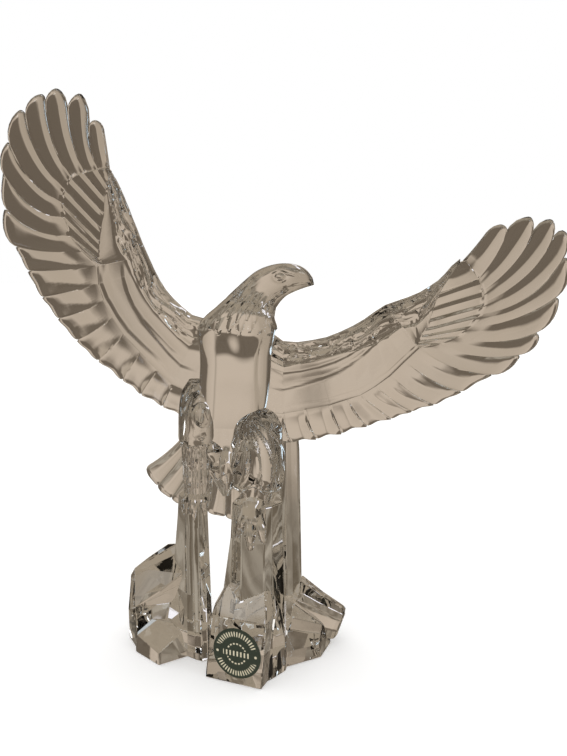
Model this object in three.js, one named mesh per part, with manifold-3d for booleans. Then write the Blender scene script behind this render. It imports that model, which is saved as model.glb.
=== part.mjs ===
// A crystal eagle with raised wings, cast in one piece with the rock it stands on, and a round foil seal.
// Millimetres, +Z up, the bird's front towards -Y. The origin is the middle of the rock's flat underside.
import * as THREE from 'three';
import { ConvexGeometry } from 'three/addons/geometries/ConvexGeometry.js';
import { LoftGeometry } from 'three/addons/geometries/LoftGeometry.js';
import { mergeVertices } from 'three/addons/utils/BufferGeometryUtils.js';
import Module from 'manifold-3d';

// Main sizes
const WINGSPAN = 247.7; // between the outermost feather tips
const BIRD_HEIGHT = 170.4; // from the perch to the highest feather tip
const PERCH_HEIGHT = 73; // top of the two tall crystals, where the feet stand
const ROCK_WIDTH = 97; // left crag to the end of the right spur

// Driving dimensions of the rock
const PILLAR_HEIGHT = 91.5; // rear crystal, which runs up into the right wing
const BLOCK_HEIGHT = 28; // low front block that carries the seal
const CRAG_HEIGHT = 46.5; // ridge of the left crag
const SPUR_LENGTH = 22.5; // blunt spur on the right
const SPUR_END_RADIUS = 7.6;
const PLINTH_HEIGHT = 5;

// Driving dimensions of the foil seal
const SEAL_DIAMETER = 21.5;
const SEAL_THICKNESS = 0.5;
const SEAL_GAP = 0.3; // between the seal and the rock
const SEAL_EDGE_MARGIN = 3; // from the block's lower edge to the seal

// Driving dimensions of the bird
const TAIL_FEATHERS = 7;
const ARM_THICKNESS = 15; // wing at the shoulder, front to back
const WRIST_THICKNESS = 9;
const COVERT_THICKNESS = 6.4; // where the flight feathers begin
const FEATHER_TIP_THICKNESS = 3.4;
const FEATHER_STEP = 1.6; // height of a flight feather over its neighbour at the tip
const COVERT_STEP = 1.0; // height of the covert rows over the flight feathers
const TAIL_THICKNESS = 6.5;
const TOE_RADIUS = 2.6;
const CLAW_RADIUS = 1;
const NECK_TUFTS = 12;
const TUFT_DROP = 2.2; // how far the tufts' points hang below the gaps between them

// The carved forms keep their proportions. The bird's points are drawn for a wingspan of 247.7 and a height of 170.4
// above the perch, the rock's for a width of 97 and a perch 73 high, and a depth goes with its form's own size.
const BIRD_X = WINGSPAN / 247.7;
const BIRD_Z = BIRD_HEIGHT / 170.4;
const BIRD_Y = BIRD_Z;
const ROCK_X = ROCK_WIDTH / 97;
const ROCK_Y = ROCK_X;
const ROCK_Z = PERCH_HEIGHT / 73;

// Each wing is drawn as feather boundaries from the body to the wing's leading end. A boundary has six [x, z]
// points: leading edge, covert row, flight feather's root, its middle, the notch, and the tip of the next feather.
const LEFT_WING = [
  [[-3.8, 149.8], [-9.1, 127.1], [-12.3, 113.2], [-14.8, 107.4], [-17.5, 99.1], [-23.6, 104.6]],
  [[-10.2, 147.3], [-19, 129.4], [-24.4, 118.4], [-26.7, 113.5], [-29.5, 107.9], [-33.9, 110.2]],
  [[-14.9, 148.6], [-24.5, 133.6], [-30.4, 124.4], [-34.6, 119.5], [-38.9, 113.1], [-42.8, 116.2]],
  [[-19.1, 152], [-30.6, 139.7], [-37.7, 132.2], [-42.5, 126], [-47, 119.6], [-52.2, 123.7]],
  [[-22.9, 155.7], [-36.6, 146], [-45, 140], [-51.1, 133.9], [-57.4, 128.1], [-62.6, 132.1]],
  [[-25.8, 159.1], [-40.6, 151.8], [-49.6, 147.3], [-58, 141.3], [-66.5, 136.9], [-71.6, 141.8]],
  [[-28.3, 162.9], [-43.9, 157.8], [-53.4, 154.6], [-63.5, 149.6], [-74.7, 146.2], [-78.9, 151.5]],
  [[-30.8, 167.9], [-46.1, 163.9], [-55.5, 161.4], [-68.1, 158.2], [-81.5, 155.4], [-85.1, 161.1]],
  [[-33.2, 173.3], [-47.2, 170.7], [-55.8, 169.1], [-71.3, 167.3], [-87.2, 166.8], [-90.9, 172.8]],
  [[-35.7, 179.2], [-55, 170.8], [-62.6, 175.8], [-77.2, 175], [-92.5, 177.2], [-97.4, 193]],
  [[-37.7, 184.6], [-55, 172.5], [-67, 181.8], [-82.8, 184], [-95.7, 192.6], [-97.2, 208.9]],
  [[-39.7, 189.5], [-54.9, 175.8], [-69.1, 189.7], [-83.6, 193.7], [-96.7, 207.4], [-94.9, 221.6]],
  [[-41.3, 193.7], [-54.3, 179.6], [-70.1, 195.6], [-84.3, 205.4], [-93.5, 219.6], [-89.1, 234.9]],
  [[-43, 197.8], [-53.3, 185], [-68.5, 200.9], [-80.8, 215.8], [-86.5, 233.2], [-79.3, 241.6]],
  [[-44.6, 201.5], [-51.8, 191.2], [-65.7, 205.9], [-74.2, 221.1], [-77.7, 238.6], [-71.5, 243.4]],
  [[-46.2, 204.8], [-51.2, 197.4], [-60.1, 207.9], [-65.5, 221], [-68.1, 235.5], [-61.1, 240.6]],
  [[-47.9, 207.7], [-50.2, 202.7], [-54.1, 209.1], [-57.8, 218.4], [-58.7, 228.3], [-55.2, 230.2]],
  [[-49.8, 210.2], [-49.3, 209.2], [-50.1, 209.9], [-51.3, 218.3], [-52.7, 227.3], [-52.7, 227.3]],
];
const RIGHT_WING = [
  [[14.8, 144.3], [14.7, 120.6], [14.6, 106.1], [14.5, 99.8], [17.1, 92.3], [22.9, 91.6]],
  [[23.8, 137.5], [23.8, 117.7], [23.8, 105.6], [24.7, 98.7], [27.4, 91.5], [32.7, 92.2]],
  [[29.8, 137], [32, 118.5], [33.4, 107.2], [35.3, 99.8], [38.6, 93.1], [43.9, 94.2]],
  [[36.2, 137.9], [39.9, 119.9], [42.2, 108.9], [45.5, 102.3], [49.9, 95.5], [55.2, 97.1]],
  [[42.2, 139.1], [47.1, 121.7], [50.1, 111], [54.8, 104.9], [61.1, 98.6], [66.9, 100.2]],
  [[47.7, 141.2], [53.8, 123.8], [57.5, 113.1], [64.6, 107], [71.9, 101.5], [76.8, 103.1]],
  [[53.3, 143.8], [60, 127.1], [64.1, 116.9], [72.6, 110.1], [81.3, 104.6], [86.2, 106.2]],
  [[58.4, 146.7], [66, 131.2], [70.7, 121.7], [81.1, 113.1], [91.2, 107.5], [97.4, 110.2]],
  [[62.6, 149.7], [71.4, 136.1], [76.8, 127.8], [89.9, 118.9], [103.3, 113.3], [111.2, 117.4]],
  [[67.3, 152.7], [81.9, 135], [83.3, 133.9], [97.8, 125.1], [117, 120.7], [129.7, 128.2]],
  [[72, 154.3], [82.8, 135.9], [92.4, 135.7], [108.7, 129.6], [129.2, 129.5], [138.3, 136.7]],
  [[77.2, 156], [83.2, 137.2], [100.1, 138.8], [118.2, 135.8], [136.4, 139.4], [146.3, 154]],
  [[82.3, 158.1], [84, 139.3], [105.1, 143.2], [124.3, 145.5], [144.6, 154.9], [149.1, 172]],
  [[86.6, 160.7], [85.7, 142.3], [108.3, 148.4], [130.5, 155.1], [146.8, 172], [147.2, 184.1]],
  [[90.4, 163.2], [87.3, 146.6], [109.9, 152.8], [130, 165.1], [142, 181], [140, 189.2]],
  [[93.4, 166.1], [88.8, 151.8], [109.6, 158], [123.9, 169.9], [132.7, 183.2], [130, 190.2]],
  [[96.3, 169.5], [90.8, 157.3], [108, 163.5], [115.7, 173.3], [121.2, 184], [117.6, 186.8]],
  [[99.3, 172.1], [99.3, 170.8], [101.7, 171.2], [107.2, 177.1], [112.8, 184], [112.8, 184]],
];

const wasm = await Module();
wasm.setup();

const vec = (x, y, z) => new THREE.Vector3(x, y, z);
const curveThrough = (points) =>
  new THREE.CatmullRomCurve3(points.map((p) => vec(...p)), false, 'catmullrom', 0.5);
const ramp = (a, b, x) => THREE.MathUtils.smoothstep(x, a, b);

// A closed three.js geometry as a solid, turned the right way out.
function solid(geometry) {
  const bare = new THREE.BufferGeometry();
  bare.setAttribute('position', geometry.getAttribute('position').clone());
  bare.setIndex(geometry.index);
  const merged = mergeVertices(bare, 1e-4);
  const triVerts = new Uint32Array(merged.index.array);
  const vertProperties = merged.getAttribute('position').array;
  const made = new wasm.Manifold(new wasm.Mesh({ numProp: 3, vertProperties, triVerts }));
  if (made.volume() > 0) return made;
  return new wasm.Manifold(new wasm.Mesh({ numProp: 3, vertProperties, triVerts: triVerts.reverse() }));
}

// Triangles that close an end ring by zipping its way out (up to the turning point) to its way back.
function zipFaces(count, turn, offset, withRing) {
  const faces = [];
  let [low, high] = [0, count - 1];
  while (high - low > 1) {
    const lowFirst = (low + 1) / turn <= (count - high) / (count - turn);
    faces.push(lowFirst ? [low, low + 1, high] : [low, high - 1, high]);
    if (lowFirst) low++;
    else high--;
  }
  return faces.flatMap((face) => (withRing ? face : face.reverse()).map((i) => offset + i));
}

// Rings in order, skinned and closed at both ends.
function loft(rings, turn = rings[0].length / 2) {
  const skin = new LoftGeometry(rings);
  const count = rings[0].length;
  const lastRow = (count + 1) * (rings.length - 1);
  skin.setIndex([...skin.index.array, ...zipFaces(count, turn, 0, false), ...zipFaces(count, turn, lastRow, true)]);
  return solid(skin);
}

const rock = (points) => solid(new ConvexGeometry(points.map(([x, y, z]) => vec(x * ROCK_X, y * ROCK_Y, z))));
const withPerch = (points) => points.map(([x, y, z]) => [x, y, z * ROCK_Z]);

function geometryOf(manifold) {
  const mesh = manifold.getMesh();
  const geometry = new THREE.BufferGeometry();
  geometry.setAttribute('position', new THREE.Float32BufferAttribute(mesh.vertProperties, 3));
  geometry.setIndex([...mesh.triVerts]);
  geometry.computeVertexNormals();
  return geometry;
}

// A stack of polygons, each [height, [x, y], [x, y], ...], as a facetted crystal.
function crystal(levels) {
  return loft(levels.map(([z, ...corners]) => corners.map(([x, y]) => vec(x * ROCK_X, y * ROCK_Y, z))));
}

// The rock

// The upright face that carries the seal: its lower and upper corners.
const SEAL_FACE = { left: [-8.5, -30], right: [15, -40], upperLeft: [-5.5, -31.28], upperRight: [17.2, -40.94] };

function frontBlock() {
  const { left, right, upperLeft, upperRight } = SEAL_FACE;
  return crystal([
    [0, left, right, [19.5, -28.5], [21, -10], [0, -6], [-9, -17]],
    [BLOCK_HEIGHT, upperLeft, upperRight, [20.4, -29], [20, -12], [1, -8], [-5, -20]],
  ]);
}

function frontCrystal() {
  return crystal([
    [0, [-7, -17], [4.5, -33], [16.5, -35.5], [25, -25], [28, -6], [8, 2]],
    [PERCH_HEIGHT * 0.38, [-2.4, -18.5], [3.6, -32.2], [17.2, -34], [24.4, -24], [25.6, -6.5], [7.5, -2]],
    [PERCH_HEIGHT * 0.8, [2, -19], [5.6, -30.4], [17.6, -31.6], [23.8, -23], [23.5, -7], [7, -4]],
    [PERCH_HEIGHT, [2.8, -19], [5.4, -28.6], [18, -29.6], [23.6, -22], [22.5, -7], [7, -5]],
  ]);
}

function leftCrystal() {
  return crystal([
    [0, [-30, -3], [-17, -13.5], [-9, -17], [-7.5, -8], [-9.5, 10], [-26, 14]],
    [PERCH_HEIGHT * 0.4, [-25.5, -3], [-17, -13.8], [-10.2, -16.5], [-8.2, -8.5], [-10, 7], [-23, 10]],
    [PERCH_HEIGHT * 0.82, [-22.6, -3], [-17.6, -14.2], [-11, -16.4], [-9, -9], [-10, 5], [-19.6, 7]],
    [PERCH_HEIGHT * 0.973, [-21.8, -3], [-17.2, -13], [-11.4, -15], [-9.4, -8.6], [-10, 4], [-19, 6]],
  ]);
}

function rearPillar() {
  return crystal([
    [0, [18, 4], [24, -3], [31, -1], [33.6, 8], [30, 20], [19, 18]],
    [PILLAR_HEIGHT * 0.3, [18.5, 5], [24, 1], [31.4, 3], [32.4, 8.5], [29.5, 18], [19.5, 17]],
    [PILLAR_HEIGHT * 0.934, [19, 8], [24, 6], [29.8, 7], [31.4, 11], [29, 17], [20, 16]],
    [PILLAR_HEIGHT, [20, 11.5], [24, 10.6], [28.6, 11], [29.4, 12.6], [27.5, 14], [21, 14]],
  ]);
}

function leftCrag() {
  const h = CRAG_HEIGHT;
  const slab = rock([
    [-20, 2, h], [-28, 5, h - 1.5], [-37, 5.5, h * 0.83], [-43.5, 5, h * 0.72], [-46, 8, h * 0.62], [-44, 16, h * 0.55],
    [-22, 16, h * 0.8], [-20, -11, h * 0.8], [-30, -10, h * 0.62], [-41.5, -7, h * 0.43], [-45.5, 1, h * 0.33],
    [-20, -2, h * 0.45], [-42, 14, h * 0.3], [-20, 14, h * 0.3],
  ]);
  const wall = rock([
    [-46.8, 5, 0], [-47, 5, h * 0.3], [-46, 8, h * 0.6], [-41, -7, h * 0.3], [-41.5, -6, 0], [-36, 4, 0], [-36, 4, h * 0.5],
    [-42, 20, 0], [-42, 16, h * 0.5], [-20, 20, 0], [-20, 16, h * 0.7], [-20, 6, 0], [-20, 6, h * 0.6],
  ]);
  const foot = rock(withPerch([
    [-41.4, -8.6, 0], [-29.4, -20.6, 0], [-17.5, -12.5, 0], [-14, 2, 0], [-44, 4, 0],
    [-40.6, -8, 7.6], [-29.6, -20, 5.2], [-22.5, -13.5, 9.5], [-32, -5, 13.5], [-17.5, -6, 11], [-15, 2, 9], [-43, 3, 11],
  ]));
  return [slab, wall, foot];
}

function rightSpur() {
  const wedge = rock(withPerch([
    [15, -28, 0], [40.5, -13.5, 0], [45.5, 0, 0], [30, 12, 0], [16, -8, 0],
    [18, -27.5, 8], [39.5, -13.5, 6], [44.5, -1, 7], [41, -8.5, 13], [26.5, -16, 20], [20, -22, 16], [22, -8, 27], [32, 8, 18],
  ]));
  const start = vec(27 * ROCK_X, 8 * ROCK_Y, 14 * ROCK_Z);
  const end = vec(start.x + SPUR_LENGTH, 1, 1 + SPUR_END_RADIUS);
  const sides = 9;
  const across = vec(0.25, 1, 0).normalize();
  const up = vec(0.35, 0, 1).normalize();
  const spurRing = (share, radius, tall) => Array.from({ length: sides }, (_, i) => {
    const turn = ((i + 0.5) / sides) * Math.PI * 2;
    return start.clone().lerp(end, share)
      .addScaledVector(across, Math.cos(turn) * radius)
      .addScaledVector(up, Math.sin(turn) * radius * tall);
  });
  const spur = loft([
    spurRing(0, SPUR_END_RADIUS * 1.91, 1), spurRing(0.5, SPUR_END_RADIUS * 1.39, 1), spurRing(0.93, SPUR_END_RADIUS * 1.08, 0.98),
    spurRing(1, SPUR_END_RADIUS, 0.95), spurRing(1.03, SPUR_END_RADIUS * 0.72, 0.95),
  ]);
  return [wedge, spur];
}

// The plinth dips between the two tall crystals. Low crags fill the back on either side of the dip.
function plinth() {
  const foot = [
    [-46.8, 5], [-17, -13], [-8, -17], [0, -20], [20, -14], [45.5, 0], [38, 20], [16, 27], [-7, 19], [-20, 27], [-40, 21],
  ];
  const top = foot.map(([x, y]) => [x * 0.94, y * 0.9]);
  const backLeft = rock(withPerch([
    [-38, 6, 0], [-14, 4, 0], [-12, 18, 0], [-22, 25, 0], [-38, 20, 0],
    [-34, 10, 20], [-20, 6, 30], [-13, 8, 16], [-14, 16, 10], [-24, 21, 12], [-34, 18, 13],
  ]));
  const backRight = rock(withPerch([
    [6, -4, 0], [30, 4, 0], [32, 19, 0], [16, 25, 0], [2, 18, 0],
    [10, -2, 24], [24, 4, 30], [28, 14, 20], [14, 21, 14], [5, 14, 12], [5, 4, 14],
  ]));
  return [crystal([[0, ...foot], [PLINTH_HEIGHT, ...top]]), backLeft, backRight];
}

// The bird. Heights in its rings are above the perch.

// An oval ring whose long axis runs from one outline point [x, z] to the other, with fluting of the given depth.
function oval(from, to, y, halfDepth, { sides = 2 * NECK_TUFTS, flute = 0, drop = 0 } = {}) {
  const middle = vec((from[0] + to[0]) / 2, y, (from[1] + to[1]) / 2);
  const half = vec((to[0] - from[0]) / 2, 0, (to[1] - from[1]) / 2);
  const along = vec(-half.z, 0, half.x).normalize();
  return Array.from({ length: sides }, (_, i) => {
    const turn = (i / sides) * Math.PI * 2;
    const ridge = i % 2 === 0 ? 1 : -1;
    const swell = 1 + ridge * flute;
    return middle.clone()
      .addScaledVector(half, Math.cos(turn) * swell)
      .addScaledVector(along, -ridge * drop)
      .add(vec(0, -Math.sin(turn) * halfDepth * swell, 0));
  });
}

// A row of pointed tufts: a plain ring just under the row, and the row's own edge standing out over it.
function tuftRow(from, to, y, halfDepth, overhang) {
  const drop = TUFT_DROP / BIRD_Z;
  const inner = oval(from, to, y, halfDepth, { drop });
  const swell = 1 + overhang;
  const grow = ([x, z], [otherX, otherZ]) => [x + (x - otherX) * overhang * 0.5, z + (z - otherZ) * overhang * 0.5];
  const outer = oval(grow(from, to), grow(to, from), y, halfDepth * swell, { drop, flute: 0.012 });
  outer.forEach((p) => { p.z += 0.5; });
  return [inner, outer];
}

function bodyAndHead() {
  const fluted = (flute) => ({ flute });
  return loft([
    oval([-3, -4], [-0.5, -4], 2, 3),
    oval([-6.5, 4], [3.5, 4], 1, 8),
    oval([-9.5, 12], [9, 12], -0.5, 12),
    oval([-11, 19], [12.5, 19], -1, 14),
    oval([-11.8, 29], [15.2, 29], -1.2, 15.4),
    oval([-11.6, 42], [17.6, 42], -1.5, 16.4),
    oval([-11, 54], [18.8, 54], -1.5, 17),
    oval([-10.6, 63], [18.8, 62.5], -1.2, 16.4),
    ...tuftRow([-10.2, 69.5], [18.7, 67.5], -0.8, 14.8, 0.09),
    oval([-8.2, 74], [19.4, 71], -0.3, 13.4, fluted(0.03)),
    ...tuftRow([-3.4, 79], [18.6, 75.6], 0, 11.6, 0.09),
    oval([2, 84.5], [20.4, 78.8], 0, 10.9, fluted(0.025)),
    oval([7, 89.4], [22.6, 81.4], 0, 10.2, fluted(0.015)),
    oval([12.5, 93.6], [25, 83.6], 0, 9.5),
    oval([18, 96], [27.2, 85.2], 0, 8.8),
    oval([23.8, 97.3], [30, 86.4], 0, 7.4),
    oval([30, 96.6], [33, 87.2], 0, 5.2),
    oval([34, 94.6], [35.2, 87.7], 0, 3.6),
    oval([36.8, 91.5], [37.2, 88.2], 0, 1.8),
  ]);
}

// Brow ridge and eye on one side of the head; side is -1 for the front, +1 for the back.
function browAndEye(side) {
  const brow = loft([
    oval([15, 93.8], [15.8, 92.6], side * 7.9, 0.7, { sides: 8 }),
    oval([19.5, 95.2], [20.6, 92.7], side * 7.9, 1.6, { sides: 8 }),
    oval([24, 95], [25, 92.9], side * 7, 1.4, { sides: 8 }),
    oval([28.2, 93.2], [28.8, 92.4], side * 5.6, 0.6, { sides: 8 }),
  ]);
  const eye = solid(new THREE.SphereGeometry(1.8, 10, 8).translate(22.6, side * 7.2, 91.6));
  return [brow, eye];
}

// A thigh and shank: rings [left x, right x, height, y, half depth, flute]. The flutes wind down as carved feathers.
function leg(rings, sides, windings) {
  return loft(rings.map(([left, right, z, y, deep, flute], level) => {
    const turnBy = (level / (rings.length - 1)) * windings;
    return Array.from({ length: sides }, (_, i) => {
      const share = i / sides;
      const turn = (share + turnBy) * Math.PI * 2;
      const swell = 1 + (i % 2 === 0 ? flute : -flute);
      return vec((left + right) / 2 + ((right - left) / 2) * Math.cos(turn) * swell, y - deep * Math.sin(turn) * swell, z);
    });
  }));
}

function rightLeg() {
  return leg([
    [9.5, 14, 39, -12, 2.5, 0], [5, 18.5, 35.5, -14.5, 7, 0.03], [3.2, 22, 30, -16.5, 9.8, 0.05], [2.6, 24, 22, -18, 11, 0.06],
    [2.8, 24.2, 13, -18.5, 10.8, 0.06], [3.6, 23, 5, -19.2, 9.6, 0.06], [5, 21.4, -1, -19.5, 8, 0.03],
  ], 20, -0.3);
}

function leftLeg() {
  return leg([
    [-15.5, -10.5, 49, -10, 2.5, 0], [-18.6, -7, 44, -11.5, 6.5, 0.02], [-19.6, -4.6, 36, -13, 8.6, 0.03],
    [-19.4, -5, 27, -13.5, 8.8, 0.04], [-18.4, -6.6, 22.8, -13, 7.6, 0.05], [-18.2, -6.6, 15, -12.2, 7, 0.06],
    [-18.2, -6.8, 5, -11, 6.8, 0.06], [-18.4, -7.2, -3, -10, 6.4, 0.03],
  ], 16, 0.12);
}

// A toe bends over the crystal's edge and ends in a claw.
function toe(knuckle, edge, tip) {
  const between = [(edge[0] + tip[0]) / 2, Math.min(edge[1], tip[1]) - 1, (edge[2] + tip[2]) / 2];
  const path = curveThrough([knuckle, edge, between, tip].map(([x, y, z]) => [x * BIRD_X, y * BIRD_Y, z * BIRD_Z]));
  const steps = 6;
  const sides = 6;
  const side = vec(1, 0, 0);
  return loft(Array.from({ length: steps + 1 }, (_, i) => {
    const share = i / steps;
    const centre = path.getPoint(share);
    const up = side.clone().cross(path.getTangent(share)).normalize();
    const radius = THREE.MathUtils.lerp(TOE_RADIUS, CLAW_RADIUS, share ** 1.6);
    return Array.from({ length: sides }, (_, k) => {
      const turn = (k / sides) * Math.PI * 2;
      return centre.clone()
        .addScaledVector(side, Math.cos(turn) * radius)
        .addScaledVector(up, Math.sin(turn) * radius);
    });
  }));
}

function feet() {
  const right = [
    toe([9.5, -24, 4], [6.8, -30.4, 1.2], [4.8, -30, -14]),
    toe([12.6, -25, 5], [12.4, -32.4, 1.8], [11.6, -31.6, -22]),
    toe([15.8, -24, 4], [18.2, -31.4, 1], [18.8, -31, -18]),
  ];
  const left = [
    toe([-14, -11, 0.6], [-17.4, -14.2, -1.6], [-18, -13.6, -9]),
    toe([-12.5, -11, 0.8], [-13.6, -15.6, -1.4], [-13.8, -15.6, -11]),
    toe([-11, -11, 0.6], [-9.6, -14.8, -1.6], [-8.8, -14.4, -9]),
  ];
  return [...right, ...left];
}

// A plate of feathers as one closed solid. Each feather is a run of columns, and each column is a ring that goes
// down the front from the leading edge to the feather's tip and comes back up behind it.
function featherPlate(boundaries, { depth, thickness, armBand, relief }) {
  const columns = [];
  let turn = 0;
  const last = boundaries.length - 1;
  const flat = ([x, z]) => new THREE.Vector2(x * BIRD_X, PERCH_HEIGHT + (z - 73) * BIRD_Z);
  const stations = boundaries.map((points) => points.map(flat));
  const quill = ([, , root, middle, notch], v) => {
    const control = middle.clone().multiplyScalar(2).addScaledVector(root, -0.5).addScaledVector(notch, -0.5);
    return root.clone().multiplyScalar((1 - v) ** 2).addScaledVector(control, 2 * v * (1 - v)).addScaledVector(notch, v * v);
  };
  for (let k = 0; k < last; k++) {
    const [here, next] = [stations[k], stations[k + 1]];
    const [notch, tip, nextNotch] = [here[4], here[5], next[4]];
    const rise = tip.clone().sub(notch);
    const outward = new THREE.Vector2(-rise.y, rise.x);
    if (outward.dot(here[2].clone().sub(notch)) > 0) outward.negate();
    const outline = [
      [0.05, notch.clone().lerp(tip, 0.06)],
      [0.36, notch.clone().lerp(tip, 0.5).addScaledVector(outward, 0.13)],
      [0.68, tip],
      [0.95, nextNotch.clone().lerp(tip, 0.25)],
    ];
    for (const [w, edge] of outline) {
      const a = (k + w) / last;
      const [lead, row, root] = [0, 1, 2].map((i) => here[i].clone().lerp(next[i], w));
      const pull = edge.clone().sub(notch.clone().lerp(nextNotch, w));
      const flight = (v) => quill(here, v).lerp(quill(next, v), w).addScaledVector(pull, v * v);
      const { arm: armY, root: rootY, tip: tipY } = depth(a);
      const { arm, root: wide, tip: slim } = thickness(a);
      const { step, covert } = relief(a);
      const tilt = w - 0.5;
      const rowY = (armY + rootY) / 2;
      const front = [];
      const back = [];
      const put = (list, p, y) => list.push(vec(p.x, y, p.y));
      const armAt = (u) => lead.clone().lerp(row, u);
      const flightY = (v) => THREE.MathUtils.lerp(rootY, tipY, v);
      const half = (v) => THREE.MathUtils.lerp(wide, slim, v) / 2;
      put(front, lead, armY);
      put(front, armAt(armBand * 0.3), armY - arm * 0.4);
      put(front, armAt(armBand * 0.75), armY - arm * 0.5);
      put(front, armAt(armBand), THREE.MathUtils.lerp(armY, rowY, armBand) - arm * 0.42);
      put(front, armAt(armBand + 0.08), THREE.MathUtils.lerp(armY, rowY, armBand + 0.08) - (arm + wide) * 0.2);
      put(front, armAt(0.97), rowY - wide / 2 - COVERT_STEP * 0.9);
      put(front, row, rowY - wide / 2 - COVERT_STEP * 0.3 - tilt * covert);
      put(front, row.clone().lerp(root, 0.94), rootY - wide / 2 - COVERT_STEP * 0.5 - tilt * covert);
      put(front, flight(0.03), rootY - wide / 2 + COVERT_STEP * 0.4);
      for (const v of [0.36, 0.72, 1]) put(front, flight(v), flightY(v) - half(v) - tilt * step * (0.35 + 0.65 * v));
      for (const v of [1, 0.6, 0.03]) put(back, flight(v), flightY(v) + half(v) - tilt * step * v);
      put(back, armAt(0.9), rowY + wide / 2);
      put(back, armAt(armBand * 0.6), armY + arm * 0.5);
      columns.push([...front, ...back]);
      turn = front.length;
    }
  }
  return loft(columns, turn);
}

// Depth, thickness and relief along a wing, from the body (0) to the leading end (1).
const wingForm = {
  armBand: 0.36,
  depth: (a) => ({
    arm: BIRD_Y * 5 * ramp(0.18, 1, a),
    root: BIRD_Y * (5 + 6 * ramp(0, 0.55, a) - 2 * ramp(0.6, 1, a)),
    tip: BIRD_Y * (9 + 8 * ramp(0, 0.75, a) - 4 * ramp(0.82, 1, a)),
  }),
  thickness: (a) => ({
    arm: THREE.MathUtils.lerp(ARM_THICKNESS, WRIST_THICKNESS, a) * (1 - 0.45 * ramp(0.9, 1, a)),
    root: COVERT_THICKNESS,
    tip: FEATHER_TIP_THICKNESS,
  }),
  relief: (a) => ({
    step: FEATHER_STEP * (0.55 + 0.45 * ramp(0.5, 0.62, a)),
    covert: COVERT_STEP * ramp(0.5, 0.6, a) * (1 - ramp(0.92, 1, a)),
  }),
};

const tailForm = {
  armBand: 0.3,
  depth: () => ({ arm: BIRD_Y * 8, root: BIRD_Y * 14, tip: BIRD_Y * 23 }),
  thickness: () => ({ arm: TAIL_THICKNESS * 1.5, root: TAIL_THICKNESS, tip: TAIL_THICKNESS * 0.7 }),
  relief: () => ({ step: FEATHER_STEP * 0.8, covert: 0 }),
};

// The tail fans out from behind the left leg to below the right wing.
function tailBoundaries() {
  const row = (points) => {
    const curve = curveThrough(points.map(([x, z]) => [x, 0, z]));
    return (share) => {
      const p = curve.getPointAt(THREE.MathUtils.clamp(share, 0, 1));
      return [p.x, p.z];
    };
  };
  const lead = row([[-15, 104], [-4, 106], [8, 104]]);
  const covert = row([[-18, 98], [-6, 92], [7, 92]]);
  const root = row([[-21, 93], [-8, 83], [7, 80]]);
  const middle = row([[-30, 83.5], [-11, 70], [10, 64]]);
  const notch = row([[-39.5, 76], [-29.5, 63], [-14, 57], [-1, 53], [13, 50.5]]);
  const tip = row([[-41, 74], [-29.5, 60.5], [-14.5, 55], [0, 50.5], [14, 48.5]]);
  return Array.from({ length: TAIL_FEATHERS + 1 }, (_, k) => {
    const share = k / TAIL_FEATHERS;
    return [lead(share), covert(share), root(share), middle(share), notch(share), tip(share + 0.6 / TAIL_FEATHERS)];
  });
}

function casting() {
  const flesh = [bodyAndHead(), ...browAndEye(-1), ...browAndEye(1), rightLeg(), leftLeg()]
    .map((piece) => piece.scale([BIRD_X, BIRD_Y, BIRD_Z]));
  const bird = [...flesh, ...feet()].map((piece) => piece.translate([0, 0, PERCH_HEIGHT]));
  const feathers = [
    featherPlate(LEFT_WING, wingForm), featherPlate(RIGHT_WING, wingForm), featherPlate(tailBoundaries(), tailForm),
  ];
  const stones = [frontBlock(), frontCrystal(), leftCrystal(), rearPillar(), ...leftCrag(), ...rightSpur(), ...plinth()];
  return [...stones, ...bird, ...feathers].reduce((whole, piece) => whole.add(piece));
}

// The seal lies on the upright face of the front block.
function placeOnBlockFace(mesh) {
  const [left, right] = [SEAL_FACE.left, SEAL_FACE.right].map(([x, y]) => [x * ROCK_X, y * ROCK_Y]);
  const outward = vec(right[1] - left[1], left[0] - right[0], 0).normalize();
  const height = SEAL_DIAMETER / 2 + SEAL_EDGE_MARGIN;
  mesh.position.set((left[0] + right[0]) / 2 + 1.9 * ROCK_X, (left[1] + right[1]) / 2 - 0.8 * ROCK_Y, height).addScaledVector(outward, SEAL_GAP + SEAL_THICKNESS / 2);
  mesh.quaternion.setFromUnitVectors(vec(0, 1, 0), outward);
}

const crystalGlass = new THREE.MeshStandardMaterial({ color: 0xcfc3b4, roughness: 0.02, metalness: 0, transparent: true, opacity: 0.4 });
const greenFoil = new THREE.MeshStandardMaterial({ color: 0x2d3a2c, roughness: 0.45, metalness: 0.2 });

const figure = new THREE.Mesh(geometryOf(casting()), crystalGlass);
figure.name = 'crystal_eagle';

const seal = new THREE.Mesh(new THREE.CylinderGeometry(SEAL_DIAMETER / 2, SEAL_DIAMETER / 2, SEAL_THICKNESS, 48), greenFoil);
seal.name = 'foil_seal';
placeOnBlockFace(seal);

const group = new THREE.Group();
group.add(figure, seal);

export default group;
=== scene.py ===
import math

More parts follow.
